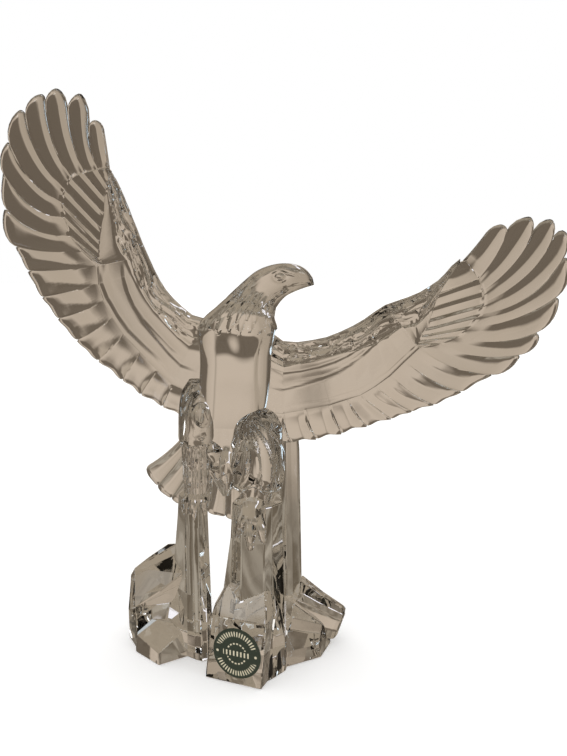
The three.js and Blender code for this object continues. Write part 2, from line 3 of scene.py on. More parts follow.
import bmesh
import bpy
import numpy as np
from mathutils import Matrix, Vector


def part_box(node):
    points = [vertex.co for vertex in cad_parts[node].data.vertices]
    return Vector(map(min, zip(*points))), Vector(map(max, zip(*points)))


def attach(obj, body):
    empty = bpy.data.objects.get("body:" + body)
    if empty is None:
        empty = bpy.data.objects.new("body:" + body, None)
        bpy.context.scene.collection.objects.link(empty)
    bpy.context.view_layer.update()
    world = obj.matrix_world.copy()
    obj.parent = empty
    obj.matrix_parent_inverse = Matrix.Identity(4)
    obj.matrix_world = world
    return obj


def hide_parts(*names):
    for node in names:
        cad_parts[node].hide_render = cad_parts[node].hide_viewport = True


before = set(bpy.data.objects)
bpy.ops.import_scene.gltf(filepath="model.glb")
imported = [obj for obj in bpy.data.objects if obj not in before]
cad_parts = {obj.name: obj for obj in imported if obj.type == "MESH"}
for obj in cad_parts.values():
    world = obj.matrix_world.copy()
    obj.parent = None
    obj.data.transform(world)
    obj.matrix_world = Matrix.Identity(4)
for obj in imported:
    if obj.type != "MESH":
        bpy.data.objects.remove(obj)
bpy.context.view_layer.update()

# Wings. Both are part of the one glass casting: a thick, roughly carved arm along the leading edge,
# smooth long coverts below it, and flight feathers that overlap like roof tiles and end in rounded tips.

# One millimetre in metres
MM = 0.001
# The casting's two finishes, by their place in its list of materials: the bird's and the rock's
CARVED, FACETTED = 0, 1

# Feather boundaries from the body to the wing's leading end, in millimetres [x, z]: leading edge, covert
# row, flight feather's root, its middle, the notch between two tips, and the tip of the next feather.
LEFT_WING = np.array([
    [[-3.8, 149.8], [-9.1, 127.1], [-12.3, 113.2], [-14.8, 107.4], [-17.5, 99.1], [-23.6, 104.6]],
    [[-10.2, 147.3], [-19, 129.4], [-24.4, 118.4], [-26.7, 113.5], [-29.5, 107.9], [-33.9, 110.2]],
    [[-14.9, 148.6], [-24.5, 133.6], [-30.4, 124.4], [-34.6, 119.5], [-38.9, 113.1], [-42.8, 116.2]],
    [[-19.1, 152], [-30.6, 139.7], [-37.7, 132.2], [-42.5, 126], [-47, 119.6], [-52.2, 123.7]],
    [[-22.9, 155.7], [-36.6, 146], [-45, 140], [-51.1, 133.9], [-57.4, 128.1], [-62.6, 132.1]],
    [[-25.8, 159.1], [-40.6, 151.8], [-49.6, 147.3], [-58, 141.3], [-66.5, 136.9], [-71.6, 141.8]],
    [[-28.3, 162.9], [-43.9, 157.8], [-53.4, 154.6], [-63.5, 149.6], [-74.7, 146.2], [-78.9, 151.5]],
    [[-30.8, 167.9], [-46.1, 163.9], [-55.5, 161.4], [-68.1, 158.2], [-81.5, 155.4], [-85.1, 161.1]],
    [[-33.2, 173.3], [-47.2, 170.7], [-55.8, 169.1], [-71.3, 167.3], [-87.2, 166.8], [-90.9, 172.8]],
    [[-35.7, 179.2], [-55, 170.8], [-62.6, 175.8], [-77.2, 175], [-92.5, 177.2], [-97.4, 193]],
    [[-37.7, 184.6], [-55, 172.5], [-67, 181.8], [-82.8, 184], [-95.7, 192.6], [-97.2, 208.9]],
    [[-39.7, 189.5], [-54.9, 175.8], [-69.1, 189.7], [-83.6, 193.7], [-96.7, 207.4], [-94.9, 221.6]],
    [[-41.3, 193.7], [-54.3, 179.6], [-70.1, 195.6], [-84.3, 205.4], [-93.5, 219.6], [-89.1, 234.9]],
    [[-43, 197.8], [-53.3, 185], [-68.5, 200.9], [-80.8, 215.8], [-86.5, 233.2], [-79.3, 241.6]],
    [[-44.6, 201.5], [-51.8, 191.2], [-65.7, 205.9], [-74.2, 221.1], [-77.7, 238.6], [-71.5, 243.4]],
    [[-46.2, 204.8], [-51.2, 197.4], [-60.1, 207.9], [-65.5, 221], [-68.1, 235.5], [-61.1, 240.6]],
    [[-47.9, 207.7], [-50.2, 202.7], [-54.1, 209.1], [-57.8, 218.4], [-58.7, 228.3], [-55.2, 230.2]],
    [[-49.8, 210.2], [-49.3, 209.2], [-50.1, 209.9], [-51.3, 218.3], [-52.7, 227.3], [-52.7, 227.3]],
])
RIGHT_WING = np.array([
    [[14.8, 144.3], [14.7, 120.6], [14.6, 106.1], [14.5, 99.8], [17.1, 92.3], [22.9, 91.6]],
    [[23.8, 137.5], [23.8, 117.7], [23.8, 105.6], [24.7, 98.7], [27.4, 91.5], [32.7, 92.2]],
    [[29.8, 137], [32, 118.5], [33.4, 107.2], [35.3, 99.8], [38.6, 93.1], [43.9, 94.2]],
    [[36.2, 137.9], [39.9, 119.9], [44.2, 109.0], [46.6, 102.3], [49.9, 95.5], [55.2, 97.1]],
    [[42.2, 139.1], [47.1, 121.7], [52.2, 111.5], [55.8, 104.9], [61.1, 98.6], [66.9, 100.2]],
    [[47.7, 141.2], [53.8, 123.8], [57.5, 113.1], [64.6, 107], [71.9, 101.5], [76.8, 103.1]],
    [[53.3, 143.8], [60, 127.1], [64.1, 116.9], [72.6, 110.1], [81.3, 104.6], [86.2, 106.2]],
    [[58.4, 146.7], [66, 131.2], [70.7, 121.7], [81.1, 113.1], [91.2, 107.5], [97.4, 110.2]],
    [[62.6, 149.7], [71.4, 136.1], [76.8, 127.8], [89.9, 118.9], [103.3, 113.3], [111.2, 117.4]],
    [[67.3, 152.7], [81.9, 135], [83.3, 133.9], [97.8, 125.1], [117, 120.7], [129.7, 128.2]],
    [[72, 154.3], [82.8, 135.9], [92.4, 135.7], [108.7, 129.6], [129.2, 129.5], [138.3, 136.7]],
    [[77.2, 156], [83.2, 137.2], [100.1, 138.8], [118.2, 135.8], [136.4, 139.4], [146.3, 154]],
    [[82.3, 158.1], [84, 139.3], [105.1, 143.2], [124.3, 145.5], [144.6, 154.9], [149.1, 172]],
    [[86.6, 160.7], [85.7, 142.3], [108.3, 148.4], [130.5, 155.1], [146.8, 172], [147.2, 184.1]],
    [[90.4, 163.2], [87.3, 146.6], [109.9, 152.8], [130, 165.1], [142, 181], [140, 189.2]],
    [[93.4, 166.1], [88.8, 151.8], [109.6, 158], [123.9, 169.9], [132.7, 183.2], [130, 190.2]],
    [[96.3, 169.5], [90.8, 157.3], [108, 163.5], [115.7, 173.3], [121.2, 184], [117.6, 186.8]],
    [[99.3, 172.1], [99.3, 170.8], [101.7, 171.2], [107.2, 177.1], [112.8, 184], [112.8, 184]],
])

# On the inner wing the covert row is only a guide line: it runs close above the flight feathers' roots
for wing, guide in ((LEFT_WING, np.linspace(0.86, 0.79, 9)), (RIGHT_WING, np.linspace(0.86, 0.93, 9))):
    wing[:9, 1] = wing[:9, 0] + (wing[:9, 2] - wing[:9, 0]) * guide[:, None]


def soft_step(low, high, x):
    """0 below low and 1 above high, with 3t^2 - 2t^3 in between."""
    t = np.clip((np.asarray(x, float) - low) / (high - low), 0, 1)
    return t * t * (3 - 2 * t)


def blend_of(a, b, t):
    """a at t = 0, b at t = 1, on a straight line in between."""
    return a + (b - a) * t


def unit(v):
    """Each vector divided by its own length."""
    return v / np.maximum(np.linalg.norm(v, axis=-1, keepdims=True), 1e-9)


def bent(p0, p1, p2, p3, t):
    """Bezier curve: the four points weighted by (1-t)^3, 3t(1-t)^2, 3t^2(1-t) and t^3."""
    s = 1 - t
    return p0 * s ** 3 + 3 * p1 * s * s * t + 3 * p2 * s * t * t + p3 * t ** 3


def skin(rings, match=None):
    """Closed skin over a grid of points, rings by places round a ring. Neighbouring rings are joined by
    quads. Each end is closed by a fan from the ring's middle, or, where the ring is a flat loop, by
    strips between its way out and its way back: match gives for each place on the way out its partner's
    number on the way back. The whole is turned round if its signed volume, the sum of a.(b x c) over
    triangles, is negative."""
    count, around, _ = rings.shape
    points = rings.reshape(-1, 3)
    ring = np.arange(count - 1)[:, None] * around
    here = np.arange(around)[None, :]
    there = (here + 1) % around
    quads = np.stack([ring + here, ring + there, ring + around + there, ring + around + here], -1)
    quads = quads.reshape(-1, 4)
    last = (count - 1) * around
    if match is not None:
        out = np.arange(len(match) - 1)
        back, back_next = (around - match[:-1]) % around, (around - match[1:]) % around
        same = match[1:] == match[:-1]
        whole = ~same & (out > 0) & (out < len(out) - 1)
        caps = np.stack([out + 1, out, back, back_next], -1)[whole]
        first_tip, last_tip = [[1, 0, back_next[0]]], [[out[-1] + 1, out[-1], back[-1]]]
        tips = np.vstack([np.stack([out + 1, out, back], -1)[same], first_tip, last_tip])
        quads = np.vstack([quads, caps, last + caps[:, ::-1]])
        triangles = np.vstack([tips, last + tips[:, ::-1]])
    else:
        points = np.vstack([points, rings[0].mean(0), rings[-1].mean(0)])
        flat_here, flat_there = here[0], there[0]
        n = count * around
        triangles = np.vstack([
            np.stack([np.full(around, n), flat_there, flat_here], -1),
            np.stack([np.full(around, n + 1), last + flat_here, last + flat_there], -1),
        ])
    halves = np.vstack([quads[:, [0, 1, 2]], quads[:, [0, 2, 3]], triangles])
    a, b, c = (points[halves[:, i]] for i in range(3))
    if np.einsum("ij,ij->i", a, np.cross(b, c)).sum() < 0:
        quads, triangles = quads[:, ::-1], triangles[:, ::-1]
    return points, quads.tolist() + triangles.tolist()


def glass_piece(name, points, faces, finish):
    """An object from points in millimetres, all of it in one finish."""
    mesh = bpy.data.meshes.new(name)
    mesh.from_pydata((points * MM).tolist(), [], faces)
    mesh.polygons.foreach_set("material_index", np.full(len(mesh.polygons), finish, dtype=np.int32))
    piece = bpy.data.objects.new(name, mesh)
    bpy.context.scene.collection.objects.link(piece)
    return piece


def feather_plate(table, form, arm_rows):
    """A plate of feathers as rings. Across the plate run the feathers, twelve columns each. Down a ring
    go the arm, the coverts and the flight feather to its rounded tip, and then the same way back behind
    it. Outline: a Bezier from the notch to the tip and another to the next notch, both level at the tip.
    Flight feather: a bent line through root, middle and notch, blended with its neighbour's, and pulled
    by the square of the way down to meet the outline. Front and back lie half a thickness off the middle
    surface. The relief of form(...) is added to the front and, more weakly, to the back, with about half
    as many rows."""
    tip_at = 0.68
    across = np.array([0.015, 0.08, 0.18, 0.3, 0.42, 0.53, 0.61, 0.66, 0.72, 0.82, 0.92, 0.985])
    feathers = len(table) - 1
    k = np.repeat(np.arange(feathers), len(across))
    w = np.tile(across, feathers)[:, None]
    here, after = table[k], table[k + 1]
    a = (k + w[:, 0]) / feathers

    notch, tip, next_notch = here[:, 4], here[:, 5], after[:, 4]
    rise, fall = tip - notch, next_notch - tip
    tall, low = np.linalg.norm(rise, axis=1, keepdims=True), np.linalg.norm(fall, axis=1, keepdims=True)
    level = unit(blend_of(unit(next_notch - notch), unit(fall), 0.35))
    out_here, out_after = unit(notch - here[:, 3]), unit(next_notch - after[:, 3])
    first = bent(notch, notch + out_here * tall * 0.32, tip - level * tall * 0.42, tip,
                 np.clip(w / tip_at, 0, 1))
    second = bent(tip, tip + level * low * 0.42, next_notch + out_after * low * 0.4, next_notch,
                  np.clip((w - tip_at) / (1 - tip_at), 0, 1))
    hem = np.where(w < tip_at, first, second)
    pull = hem - blend_of(notch, next_notch, w)

    # Rows run through three zones: 0 to 1 on the arm, 1 to 2 on the coverts, 2 to 3 on the flight feather
    on_arm = np.concatenate([[0, 0.012, 0.03], np.linspace(0.05, 0.5, arm_rows),
                             np.linspace(0.54, 0.97, arm_rows * 3 // 5)])
    on_coverts = np.array([0, 0.2, 0.42, 0.64, 0.82, 0.93, 0.98])
    on_flight = np.concatenate([[0.02, 0.06, 0.12], np.linspace(0.2, 0.9, 12), [0.935, 0.96, 0.98, 0.993, 1]])
    zone = np.concatenate([on_arm, 1 + on_coverts, 2 + on_flight])[None, :, None]

    def quill(side, down):
        """The bent middle line of a feather: a parabola through its root, its middle and its notch."""
        root, middle, end = side[:, None, 2], side[:, None, 3], side[:, None, 4]
        control = 2 * middle - 0.5 * root - 0.5 * end
        return root * (1 - down) ** 2 + control * 2 * down * (1 - down) + end * down ** 2

    lead, row, root = (blend_of(here[:, i], after[:, i], w)[:, None] for i in range(3))
    down = np.clip(zone - 2, 0, 1)
    flight = blend_of(quill(here, down), quill(after, down), w[:, None]) + pull[:, None] * down ** 2
    upper = np.where(zone < 1, blend_of(lead, row, zone), blend_of(row, root, zone - 1))
    place = np.where(zone < 2, upper, flight)

    share = np.linalg.norm(place - lead, axis=2) / np.maximum(np.linalg.norm(root - lead, axis=2), 0.5)
    spacing = np.linalg.norm(quill(after, down) - quill(here, down), axis=2)
    shape = form(a[:, None], k[:, None], w, zone[..., 0], place, share, spacing)
    front_y = shape["middle"] - shape["half_front"] - shape["relief"]
    back_y = shape["middle"] + shape["half_back"] - shape["relief_back"]
    front = np.stack([place[..., 0], front_y, place[..., 1]], -1)
    back = np.stack([place[..., 0], back_y, place[..., 1]], -1)
    rows = zone[0, :, 0]
    kept = (np.arange(len(rows)) % 2 == 0) | (rows < 0.04) | (rows > 2.92)
    kept[-1] = True
    inner = np.flatnonzero(kept)[1:-1]
    return np.concatenate([front, back[:, inner[::-1]]], axis=1), np.cumsum(kept) - 1


def lip(distance, height, tail, soft=1.0):
    """The edge of an overlapping feather: full height just above the edge, fading upward by exp(distance
    / tail), and none below it. soft widens the step between them."""
    above = height * np.exp(np.minimum(distance, 0) / tail)
    return above * (1 - soft_step(-0.18 * soft, 0.3 * soft, distance))


def round_rim(down):
    """A quarter of an ellipse over the last 0.07 of the way down, so that a plate ends in a round rim."""
    return np.sqrt(np.clip(1 - (np.clip(down - 0.93, 0, 1) / 0.07) ** 2, 0, 1))


def wing_form(arm_share, peak, strips, ridge_of):
    """The arm is thickest at peak, a share of its width from the leading edge. arm_share gives the arm's
    share of the way from the leading edge to the roots, at every boundary. strips are long covert edges.
    ridge_of gives, for a feather and the way down it, where across it the ridge lies and the slopes on
    either side."""
    def form(a, k, w, zone, place, share, spacing):
        feather = k + w
        arm_y = 5 * soft_step(0.18, 1, a)
        root_y = 5 + 6 * soft_step(0, 0.55, a) - 2 * soft_step(0.6, 1, a)
        tip_y = 9 + 8 * soft_step(0, 0.75, a) - 4 * soft_step(0.82, 1, a)
        arm = blend_of(15, 9, a) * (1 - 0.45 * soft_step(0.9, 1, a))
        wide, slim = 6.2, 3.4
        row_share = np.take_along_axis(share, np.argmax(zone >= 1, axis=1)[:, None] * np.ones_like(k), axis=1)
        row_y = blend_of(arm_y, root_y, np.clip(row_share, 0, 1))
        down = np.clip(zone - 2, 0, 1)
        middle = np.where(zone < 1, blend_of(arm_y, row_y, zone), blend_of(row_y, root_y, zone - 1))
        middle = np.where(zone < 2, middle, blend_of(root_y, tip_y, down))
        # Half thickness: a round arm, an S-shaped step down to the coverts, and a taper to the round rim
        band = np.interp(feather, np.arange(len(arm_share)), arm_share)
        way = np.where(zone < 2, share / band, 9)
        grow = np.sqrt(np.clip(1 - (1 - np.minimum(way / peak, 1)) ** 2, 0, 1))
        covert = wide / 2 + 0.7
        arm_half = arm / 2 * grow
        down_to_coverts = soft_step(min(peak, 0.84), 1.12, way)
        half_front = np.where(zone < 2, blend_of(arm_half, np.minimum(covert, arm_half), down_to_coverts),
                              blend_of(wide, slim, down) / 2)
        to_roots = blend_of(half_front, wide / 2 + 0.3, soft_step(0, 1, zone - 1))
        half_front = np.where((zone > 1) & (zone < 2), to_roots, half_front)
        half_back = np.where(zone < 2, blend_of(arm_half, np.minimum(wide / 2, arm_half), down_to_coverts),
                             blend_of(wide, slim, down) / 2)
        half_front, half_back = half_front * round_rim(down), half_back * round_rim(down)

        # Flight feathers: a roof that climbs to its ridge, falls, and steps down to the next feather
        primary = soft_step(0.49, 0.56, a)
        ridge, climb, fall = ridge_of(feather, primary, down)
        top = climb * ridge * spacing
        off, soft = w - ridge, blend_of(0.035, 0.075, primary)
        bend = (climb + fall) * (np.sqrt(off ** 2 + soft ** 2) - soft)
        roof = 0.5 * ((climb - fall) * off - bend) * spacing + 0.55 * top
        flight = roof * (zone >= 2) * blend_of(0.25 * primary, 1, soft_step(0, 0.45, down))
        # Hem of the coverts over the flight feathers, and a fine groove under it
        hem = lip((zone - 2) * 9, 0.5, 4.5) * (zone > 1) - 0.4 * np.exp(-((zone - 2.035) / 0.022) ** 2)
        # Primary coverts: one short feather per flight feather
        tile = np.where(w < 0.64, w / 0.64, 1 - 0.5 * (w - 0.64) / 0.36) - 0.45
        coverts = tile * 1.15 * primary * soft_step(0.95, 1.15, zone) * (zone < 2)
        inner = lip((zone - 1.0) * 9, 0.5, 3) * soft_step(0.46, 0.68, a) * (zone < 1.3)
        # Long covert edges beside the arm
        long_edges = 0
        for at_body, at_sixth, from_feather, to_feather in strips:
            edge = blend_of(at_body, at_sixth, feather / 6)
            begun = soft_step(from_feather - 0.8, from_feather + 0.6, feather)
            ended = soft_step(to_feather - 0.8, to_feather + 0.8, feather)
            ends = begun * (1 - ended) * (zone < 2) * (way > 1)
            long_edges = long_edges + lip((share - edge) * 28, 0.55, 2.0, 3.4) * ends
        # Arm: carved strands that wander along it, cut across on the slant into overlapping lengths
        run = np.concatenate([[0], np.cumsum(np.hypot(*np.diff(place[:, 0], axis=0).T))])[:, None]
        wander = 0.4 * np.sin(run * 0.15 + 0.5) + 0.16 * np.sin(run * 0.37 + 2 * way)
        level = np.minimum(way, 1) * 2.5 + wander
        tier = np.floor(level)
        strand = 1 - np.abs(2 * (level - tier) - 1) ** 1.5
        length = ((run + 9 * np.minimum(way, 1)) / 17 + 0.37 * tier) % 1
        inside = soft_step(0, 0.14, way) * (1 - soft_step(0.84, 0.97, way)) * (zone < 2)
        carved = (strand * (0.9 + 0.6 * (0.5 - length)) - 0.45) * 1.5
        carved = carved * inside * soft_step(0.01, 0.1, a) * (1 - soft_step(0.94, 0.995, a))

        relief = flight + hem + coverts + inner + long_edges + carved
        relief_back = blend_of(0.35, 1, soft_step(0.86, 0.995, down)) * flight - 0.7 * carved + 0.4 * coverts
        relief = np.where(down > 0.999, relief_back, relief)
        return {"middle": middle, "half_front": half_front, "half_back": half_back, "relief": relief,
                "relief_back": relief_back}
    return form


def left_ridge(feather, primary, down):
    """Primaries: ridge at 0.64 across. Inner feathers: at 0.07 at the root, and at the hem from 0.21 by
    the body to 0.64 farther out."""
    reach = np.interp(feather, [0, 2, 3, 4, 5, 6, 7, 8.5], [0.14, 0.2, 0.27, 0.35, 0.43, 0.5, 0.55, 0.57])
    inner = 0.07 + reach * soft_step(0.02, 0.75, down)
    return blend_of(inner, 0.64, primary), blend_of(0.3, 0.2, primary), blend_of(0.16, 0.2, primary)


def right_ridge(feather, primary, down):
    """Primaries: ridge at 0.56. Next inward it moves from 0.5 at the root to 0.8 at the hem, and falls
    steeply. The five feathers by the body are hollow instead: they fall gently and climb steeply from
    0.62 on."""
    outer = soft_step(4.8, 5.3, feather)
    inner = blend_of(0.62 + 0.08 * down, 0.5 + 0.3 * soft_step(0.1, 1, down), outer)
    return (blend_of(inner, 0.56, primary), blend_of(blend_of(-0.07, 0.14, outer), 0.17, primary),
            blend_of(blend_of(-0.4, 0.38, outer), 0.2, primary))


# The arm's share of the way from the leading edge to the roots, at each boundary from the body outwards
LEFT_ARM = [0.42, 0.40, 0.37, 0.35, 0.34, 0.33, 0.33, 0.35, 0.37, 0.36, 0.35, 0.32, 0.29, 0.3, 0.32, 0.36,
            0.5, 0.9]
RIGHT_ARM = [0.31, 0.30, 0.27, 0.26, 0.26, 0.27, 0.32, 0.38, 0.42, 0.44, 0.42, 0.4, 0.4, 0.4, 0.42, 0.45,
             0.5, 0.9]
# Long covert edges: the same share at the body and at the sixth feather, and the first and last feather
LEFT_STRIPS = [(0.72, 0.55, 0.6, 7.2), (0.79, 0.92, 2.4, 7.4), (0.61, 0.53, 1.6, 4.6)]
RIGHT_STRIPS = [(0.44, 0.34, 0.5, 6), (0.69, 0.45, 0.5, 7.2), (0.57, 0.50, 1.2, 3.4)]
ARM_ROWS = 26
left_form = wing_form(LEFT_ARM, 0.3, LEFT_STRIPS, left_ridge)
right_form = wing_form(RIGHT_ARM, 0.92, RIGHT_STRIPS, right_ridge)
left_wing = glass_piece("left_wing", *skin(*feather_plate(LEFT_WING, left_form, ARM_ROWS)), CARVED)
right_wing = glass_piece("right_wing", *skin(*feather_plate(RIGHT_WING, right_form, ARM_ROWS)), CARVED)

# Tail. Seven broad feathers in the same casting fan out behind the left leg, half hidden by the legs. Each is
# a roof of two slopes, and together they end in an almost straight hem.

# The same six columns of points as for a wing, from the left edge to the right
TAIL = np.array([
    [[-15, 104], [-18, 98], [-21, 93], [-30, 83.5], [-39.5, 76], [-37.7, 69.7]],
    [[-11.7, 104.7], [-14.7, 96.2], [-17.5, 90.1], [-24.9, 79.6], [-34.6, 68.8], [-32, 62.7]],
    [[-8.5, 105.5], [-11.4, 94.3], [-14.1, 87.1], [-19.8, 75.6], [-28.7, 62.5], [-24.5, 57.9]],
    [[-5.2, 106], [-8, 92.6], [-10.5, 84.4], [-14.5, 71.9], [-20.7, 59.1], [-15.8, 55.4]],
    [[-1.8, 105.9], [-4.3, 91.7], [-6.4, 82.4], [-8.7, 69], [-12.4, 56.4], [-7.2, 52.5]],
    [[1.5, 105.3], [-0.6, 91.6], [-2, 81.3], [-2.6, 67], [-4.1, 53.8], [1.5, 50.2]],
    [[4.7, 104.6], [3.2, 91.8], [2.5, 80.7], [3.7, 65.5], [4.4, 51.9], [10.4, 49]],
    [[8, 104], [7, 92], [7, 80], [10, 64], [13, 50.5], [14, 48.5]],
])
# The notches are drawn 0.55 of the way to the line between two tips, which makes them shallow
TAIL[1:-1, 4] += 0.55 * ((TAIL[:-2, 5] + TAIL[1:-1, 5]) / 2 - TAIL[1:-1, 4])


def tail_form(a, k, w, zone, place, share, spacing):
    """Thickness 9.6 mm at the top, 6.5 at the roots and 4.6 at the tips, on straight lines between them.
    Depth 8, 14 and 23. Each feather is a roof of two straight slopes that meet in its middle."""
    down = np.clip(zone - 2, 0, 1)
    middle = np.where(zone < 1, blend_of(8, 11, zone), blend_of(11, 14, zone - 1))
    middle = np.where(zone < 2, middle, blend_of(14, 23, down))
    grow = np.sqrt(np.clip(1 - (1 - np.minimum(zone / 0.3, 1)) ** 2, 0, 1))
    upper = blend_of(4.8, 3.3, np.clip(zone / 2, 0, 1)) * grow
    half = np.where(zone < 2, upper, blend_of(6.5, 4.6, down) / 2) * round_rim(down)
    roof = np.where(w < 0.5, w / 0.5, 1 - 0.7 * (w - 0.5) / 0.5)
    relief = (roof - 0.5) * 1.5 * soft_step(1.2, 2.3, zone)
    relief_back = relief * blend_of(0.35, 1, soft_step(0.86, 0.995, down))
    relief = np.where(down > 0.999, relief_back, relief)
    return {"middle": middle, "half_front": half, "half_back": half, "relief": relief,
            "relief_back": relief_back}


tail = glass_piece("tail", *skin(*feather_plate(TAIL, tail_form, 5)), CARVED)

# Body and head. One carved form from the vent to the beak: a smooth breast, pointed neck feathers in
# overlapping rows, a flat crown with a heavy brow, a round eye and a hooked beak.

# The perch is where the feet stand on the rock, and the bird's heights are given above it
PERCH = 73.0
# Outline points: left or upper x, z, right or lower x, z, place in depth, half depth
BODY = np.array([
    [-3, -4, -0.5, -4, 2, 3], [-6.5, 4, 3.5, 4, 1, 8], [-9.5, 12, 9, 12, -0.5, 12],
    [-11, 19, 12.5, 19, -1, 14], [-11.8, 29, 15.2, 29, -1.2, 15.4], [-11.6, 42, 17.6, 42, -1.5, 16.4],
    [-11, 54, 18.8, 54, -1.5, 17], [-10.6, 63, 18.8, 62.5, -1.2, 16.6], [-10.2, 69.5, 18.7, 67.5, -0.8, 15.8],
    [-8.2, 74, 19.3, 71, -0.3, 14.6], [-3.6, 79, 19.4, 75, 0, 13.3], [1.9, 84.6, 20.8, 78.8, 0, 12.1],
    [7.1, 89.7, 22.8, 81.4, 0, 11], [12.6, 94.1, 25.2, 83.7, 0, 10], [18.2, 96.4, 27.8, 85.1, 0, 9.1],
    [23.8, 97.3, 30.4, 86.2, 0, 8.1], [29.6, 96.7, 33.2, 87.2, 0, 6.7], [33.6, 94.6, 35.3, 87.8, 0, 5.4],
    [36.1, 91.6, 36.9, 88.3, 0, 3.4],
])


def spline(stops, t):
    """Catmull-Rom curve through the stops at t = 0, 1, 2 ...: each piece is a cubic whose slope at a stop
    is half the step between the stops on either side."""
    padded = np.vstack([2 * stops[0] - stops[1], stops, 2 * stops[-1] - stops[-2]])
    i = np.clip(np.floor(t).astype(int), 0, len(stops) - 2)
    f = (t - i)[:, None]
    p0, p1, p2, p3 = (padded[i + n] for n in range(4))
    return 0.5 * (2 * p1 + (p2 - p0) * f + (2 * p0 - 5 * p1 + 4 * p2 - p3) * f ** 2
                  + (3 * p1 - p0 - 3 * p2 + p3) * f ** 3)


def cut_line(x, z, line, width):
    """1 on a line of straight pieces in the upright plane, fading by exp(-(distance / width)^2) to either
    side."""
    nearest = np.full(np.shape(x), 1e9)
    for (ax, az), (bx, bz) in zip(line[:-1], line[1:]):
        along = (x - ax) * (bx - ax) + (z - az) * (bz - az)
        share = np.clip(along / ((bx - ax) ** 2 + (bz - az) ** 2), 0, 1)
        nearest = np.minimum(nearest, np.hypot(x - ax - share * (bx - ax), z - az - share * (bz - az)))
    return np.exp(-(nearest / width) ** 2)


def body_rings():
    """Ovals between the two outlines. Round each, cos and sin are divided by the p-th root of the sum of
    their p-th powers, with p from 4.8 at the torso to 2.9 at the head, so breast and cheeks are nearly
    flat with round edges. Places lie closer together at the front. Relief is added outwards from the
    ring's own middle."""
    t = np.concatenate([np.linspace(0, 6.6, 20), np.linspace(6.75, 12.4, 74), np.linspace(12.5, 18, 50)])
    left_x, left_z, right_x, right_z, y, deep = spline(BODY, t).T[:, :, None]
    turn = np.linspace(0, 2 * np.pi, 116, endpoint=False)[None, :]
    turn = turn + 0.5 * np.cos(turn)
    power = blend_of(4.8, 2.9, soft_step(5.5, 10, t))[:, None]
    push = (np.abs(np.cos(turn)) ** power + np.abs(np.sin(turn)) ** power) ** (-1 / power)
    co, si = np.cos(turn) * push, np.sin(turn) * push
    half_x, half_z = (right_x - left_x) / 2, (right_z - left_z) / 2
    x = (left_x + right_x) / 2 + half_x * co
    z = (left_z + right_z) / 2 + half_z * co
    out = np.stack([half_x * co, -deep * si, half_z * co], -1)
    out = unit(out)

    # Neck feathers: staggered rows of narrow domes, each pointed and highest at its lower end
    place = t[:, None]
    tiles = np.zeros(x.shape)
    for at, height, shift, long in ((7.95, 1.35, 0.0, 2.0), (9.0, 1.15, 0.45, 1.9), (10.1, 0.85, 0.15, 1.7)):
        across = co * 4.2 + shift + 0.25 * place
        along = (place - at - 0.45 * ((np.floor(across) * 0.618) % 1)) / long
        wide = 0.5 * np.clip(along / 0.6, 0, 1) ** 0.9 + 1e-3
        dome = np.clip(1 - ((across % 1 - 0.5) / wide) ** 2, 0, 1) * np.clip(1 - along, 0, 1)
        tiles = np.maximum(tiles, height * dome * soft_step(0, 0.12, along))
    tiles = tiles * np.where(si < 0, 0.2, 1.0)

    # Face, on both sides: brow, eye with a groove round it, the line of the beak, the jaw and the crown
    side = np.abs(np.sin(turn))
    cheek = soft_step(0.25, 0.6, side)
    brow = 0.95 * cut_line(x, z, [(12.5, 91.6), (18.2, 94.2), (24.5, 94.8), (28.6, 93.4)], 1.1)
    eye_at = np.hypot((x - 22.4) / 1.25, z - 92.0)
    eye = 0.75 * np.sqrt(np.clip(1 - (eye_at / 1.5) ** 2, 0, 1)) - 0.35 * np.exp(-((eye_at - 2.0) / 0.6) ** 2)
    mouth = -1.0 * cut_line(x, z, [(24.5, 86.4), (29, 87.6), (34, 88.4)], 1.2)
    jaw = -1.2 * cut_line(x, z, [(17.6, 80.6), (20.6, 84.2), (24.4, 86.0)], 0.9)
    crown = -0.9 * cut_line(x, z, [(5.6, 86.4), (10.4, 90.6), (16.4, 93.6), (20.5, 95.6)], 0.7)
    far_side = np.where(si < 0, 0.35, 1.0)
    face = (brow + eye + mouth + jaw + crown) * cheek * far_side * soft_step(10.6, 11.8, place)

    # A ruff swells where the neck feathers end, and a wandering groove runs down the breast's right side
    swell = soft_step(6.25, 8.35, place + 0.12 * np.sin(6 * co)) * (1 - soft_step(8.4, 11.6, place))
    ruff = 3.2 * swell * np.abs(si) ** 0.5
    ends = soft_step(28, 34, z) * (1 - soft_step(66, 71, z))
    groove = -1.1 * np.exp(-(x - 14.4 - 0.5 * np.sin(z * 0.21)) ** 2) * soft_step(0.2, 0.7, si) * ends
    relief = tiles + face + ruff + groove
    return np.stack([x, np.broadcast_to(y, x.shape) - deep * si, z + PERCH], -1) + out * relief[..., None]


body = glass_piece("body", *skin(body_rings()), CARVED)

# Legs. Each is part of the casting: the thigh is cloaked in long carved feathers that end in a ragged
# hem, and the shank runs down into the rock. Between them hang the tufts under the tail.

